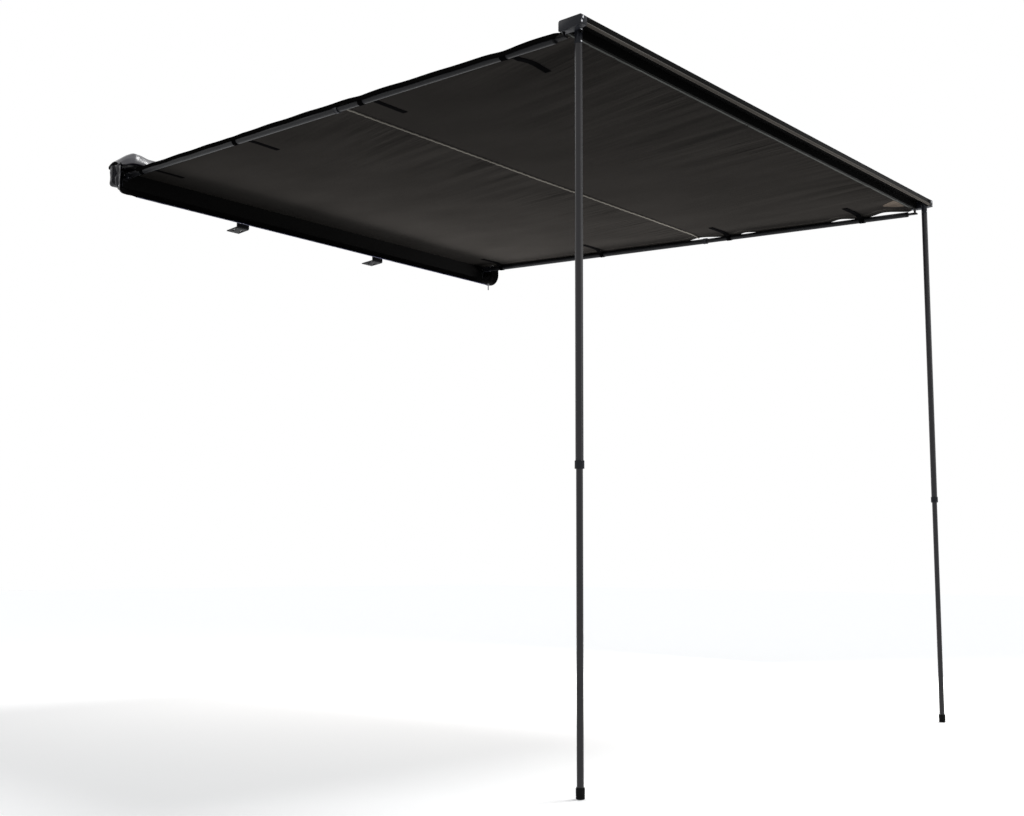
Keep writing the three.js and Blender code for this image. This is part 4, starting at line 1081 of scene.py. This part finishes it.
def pocket_backs():
    """The vinyl that wraps each pocket round the rail's end, and closes it below."""
    fold_size, fold_seed, fold_depth = 0.05, 2.0, 0.0035
    fold_level, sideways, held_below = 0.4, 0.3, 0.2
    doubles, slivers = 0.0008, 0.0004
    inside = Vector((0, -0.06, 0.08))
    made = []
    for end, side in ENDS:
        bm = bmesh.new()
        bmesh.ops.create_grid(bm, x_segments=30, y_segments=36, size=0.5)
        for vert in bm.verts:
            point = pocket_back_point(vert.co.x + 0.5, vert.co.y + 0.5, side)
            loose = smooth((vert.co.y + 0.5) / held_below)
            fold = fold_depth * (crumple(point, fold_size, fold_seed) - fold_level) * loose
            vert.co = point + Vector((side * fold * sideways, fold, 0))
        bmesh.ops.remove_doubles(bm, verts=bm.verts, dist=doubles)
        bmesh.ops.dissolve_degenerate(bm, dist=slivers, edges=bm.edges)
        thickened(bm, BAG_CLOTH)
        shade_inside(bm, lambda middle: inside)
        made.append(piece(f"{end}_pocket_back", bm, "rail_base", "bag_vinyl", sharp=50, inner="bag_inside_painted_shade"))
    return made


def bag_lower_flap():
    """The flap that hangs from the rail, with crumples that are deepest at its end pockets."""
    ridge_size, ridge_seed = 0.065, 2.0
    ridge, pocket_ridge, pocket_level = 0.0025, 0.0065, 0.3
    pocket_run, held_share = 0.07, 0.25
    hem_calm, hem_from, hem_run = 0.85, 0.65, 0.3
    bm = bmesh.new()
    bmesh.ops.create_grid(bm, x_segments=420, y_segments=26, size=1)
    shares = {}
    for vert in bm.verts:
        across, share = vert.co.x, (1 - vert.co.y) / 2
        vert.co = lower_flap_point(across, share)
        shares[vert] = share
    bmesh.ops.recalc_face_normals(bm, faces=bm.faces)
    bm.normal_update()
    shifts = {}
    for vert, share in shares.items():
        pocket = smooth((abs(vert.co.x) - BAG_MIDDLE) / pocket_run)
        free = smooth(share / held_share)
        hem = 1 - hem_calm * smooth((share - hem_from) / hem_run)
        crumpled = crumple(vert.co, ridge_size, ridge_seed) - pocket_level * pocket
        ridges = crumpled * (ridge + pocket_ridge * pocket)
        droop = ripple(vert.co.x, share, 1.0, *VINYL_DROOP) * (1 - pocket)
        waves = ripple(vert.co.x, share, 4.0, *VINYL_WAVES)
        shifts[vert] = vert.normal * (ridges * hem + droop + waves) * free
    for vert, shift in shifts.items():
        vert.co += shift
    thickened(bm, BAG_CLOTH)
    shade_inside(bm, lambda middle: Vector((max(min(middle.x, BAG_MIDDLE), -BAG_MIDDLE), -0.085, 0.075)))
    flap = piece("bag_lower_flap_vinyl", bm, "rail_base", "bag_vinyl", ["bag_lower_flap"], sharp=50,
                 inner="bag_inside_painted_shade")
    pocket_backs()
    return flap


def shade_inside(bm, centre_of):
    """Gives the faces that look towards the bag's middle a darker, duller finish: painted shade inside the
    bag.
    """
    for face in bm.faces:
        middle = face.calc_center_median()
        if face.normal.dot(centre_of(middle) - middle) > 0:
            face.material_index = 1


def hood_section(turn):
    """A smooth closed line through the hood's section: depth, and rise above the rail."""
    count = len(HOOD_SECTION)
    place = turn * count
    step = int(place) % count
    share = place - int(place)
    a, b, c, d = (Vector(HOOD_SECTION[(step + k) % count]) for k in (-1, 0, 1, 2))
    return 0.5 * (2 * b + (c - a) * share + (2 * a - 5 * b + 4 * c - d) * share ** 2
                  + (3 * b - a - 3 * c + d) * share ** 3)


def hood_point(share, turn):
    """share runs from -1 at the near end to 1 at the far end, turn round the loose flap."""
    base = 0.036
    thin_end = 0.14
    crest, end_rise, rise_from, rise_run = 0.66, 0.31, 0.5, 0.35
    roll, rolls = 0.05, 2.3
    end_droop, droop_from, droop_run = 0.012, 0.985, 0.05
    x = share * HOOD_HALF
    depth, rise = hood_section(turn)
    past = max(abs(x) - HOOD_END, 0) / (HOOD_HALF + 0.002 - HOOD_END)
    swell = thin_end + (1 - thin_end) * math.sqrt(max(1 - past ** 2, 0.0))
    high = crest + end_rise * smooth((abs(x) - rise_from) / rise_run)
    high += roll * math.sin(math.tau * rolls * share + 1)
    droop = end_droop * smooth((abs(x) - droop_from) / droop_run) * smooth((depth - 0.02) / 0.05)
    return Vector((x, -(base + (depth - base) * (0.5 + 0.5 * swell)),
                   HOOD_BASE + rise * high * swell - droop))


def bag_top_flap():
    """The upper flap, thrown back over the rail: flat facets between folds, as crushed vinyl has."""
    shake_along, shake_round, shake_out = 0.010, 0.030, 0.011
    end_share = 0.04
    cloth = BAG_CLOTH * 0.6
    small_height = 0.0005
    end_middle = 0.96
    middle_depth, middle_rise = HOOD_MIDDLE
    bm = bmesh.new()
    lengthwise, around = HOOD_PANELS
    bmesh.ops.create_grid(bm, x_segments=lengthwise, y_segments=around, size=1)
    for vert in bm.verts:
        share, turn = vert.co.x, (vert.co.y + 1) / 2 * HOOD_OPEN
        spot = Vector((share * 17.3, turn * 9.1, 2.7))
        shake = noise.noise_vector(spot)
        inside = min(1 - abs(share), end_share) / end_share
        held = smooth(turn / 0.12) * smooth((HOOD_OPEN - turn) / 0.2)
        vert.co = hood_point(share + shake_along * shake.x * inside, turn + shake_round * shake.y * held)
        out = Vector((0, vert.co.y + middle_depth, vert.co.z - HOOD_BASE - middle_rise)).normalized()
        vert.co += out * shake_out * shake.z * held * (0.3 + 0.7 * inside)
    bmesh.ops.triangulate(bm, faces=bm.faces, quad_method="SHORT_EDGE")
    bmesh.ops.subdivide_edges(bm, edges=bm.edges, cuts=3, use_grid_fill=True)
    for _ in range(2):
        bmesh.ops.smooth_vert(bm, verts=bm.verts, factor=0.5, use_axis_x=True, use_axis_y=True,
                              use_axis_z=True)
    for vert in bm.verts:
        vert.co.z = max(vert.co.z, HOOD_BASE)
        small = noise.noise(vert.co * 28) + 0.5 * noise.noise(vert.co * 61)
        vert.co.z += small_height * small * smooth((vert.co.z - HOOD_BASE) / 0.01)
    thickened(bm, cloth)
    shade_inside(bm, lambda middle: Vector((max(min(middle.x, end_middle), -end_middle), -middle_depth,
                                           HOOD_BASE + middle_rise)))
    # The top flap's vinyl is paler and lavender-tinted: a painted highlight
    flap = piece("bag_top_flap_vinyl", bm, "rail_base", "bag_vinyl", ["bag_top_flap"], "hood_vinyl_painted_highlight", 50,
                 "bag_inside_painted_shade")


def zip_teeth():
    """Two parts of the open zip: its teeth, narrower in front, and the tape that they are sewn to."""
    pitch = 0.004
    tooth = (0.0024, 0.0036, 0.0026)
    narrow = 0.7
    teeth_y = -0.0960
    bm = bmesh.new()
    for k in range(int(2 * ZIP_HALF / pitch)):
        x = -ZIP_HALF + (k + 0.5) * pitch
        place = Matrix.Translation((x, teeth_y, ZIP_HEIGHT)) @ Matrix.Diagonal((*tooth, 1))
        made = bmesh.ops.create_cube(bm, size=1, matrix=place)
        front = [vert for vert in made["verts"] if vert.co.y < teeth_y]
        for vert in front:
            vert.co.x = x + (vert.co.x - x) * narrow
            vert.co.z = ZIP_HEIGHT + (vert.co.z - ZIP_HEIGHT) * narrow
    piece("zip_teeth", bm, "rail_base", "zip_coil", ["zip_track"])
    tape_half, tape_start, tape_width = 0.975, 0.0905, 0.0055
    tape = bmesh.new()
    bmesh.ops.create_grid(tape, x_segments=260, y_segments=3, size=0.5)
    for vert in tape.verts:
        depth = tape_start + (vert.co.y + 0.5) * tape_width
        vert.co = (vert.co.x * 2 * tape_half, -depth, ZIP_HEIGHT + 0.0002)
    thickened(tape, 0.0008)
    piece("zip_tape", tape, "rail_base", "zip_coil", look="zip_tape")


def rivets(flap):
    """Domed rivets and screws where the photograph shows bright heads."""
    dome = [(0, 0.0016), (0.0014, 0.0014), (0.0026, 0.0007), (0.0030, 0.0), (0, 0.0)]
    sunk = 0.0002
    screws = {"top": (0.9915, 0.0075), "low": (0.9960, 0.0190)}
    knuckle_front, knuckle_drop = 0.0100, 0.034
    beside_wall = Vector((-BAG_HALF - 0.1, -0.0840, 0.020))
    spots = []
    for end, side in ENDS:
        for row, (x, drop) in screws.items():
            place = (side * x, -RAIL_REACH, RAIL_TOP - drop)
            spots.append((f"{end}_rail_screw_{row}", "front_beam", place, ALONG_RUN))
        place = (side * LEG_X, -LEG_DEPTHS[end] - knuckle_front, LEG_PIVOT - knuckle_drop)
        spots.append((f"{end}_knuckle_rivet", f"{end}_leg", place, ALONG_RUN))
    _, seat, facing, _ = flap.ray_cast(beside_wall, Vector((1, 0, 0)))
    outward = facing.to_track_quat("Z", "Y").to_matrix().to_4x4()
    spots.append(("near_wall_rivet", "rail_base", seat - facing * sunk, outward))
    for name, body, place, turn in spots:
        piece(name, moved(spun(dome, steps=24), turn, Matrix.Translation(place)), body, "zinc_steel")


set_camera()
light_studio()
lay_floor()
eased_solids()
rafters()
legs()
canopy()
straps()
lower_flap = bag_lower_flap()
bag_top_flap()
zip_teeth()
rivets(lower_flap)
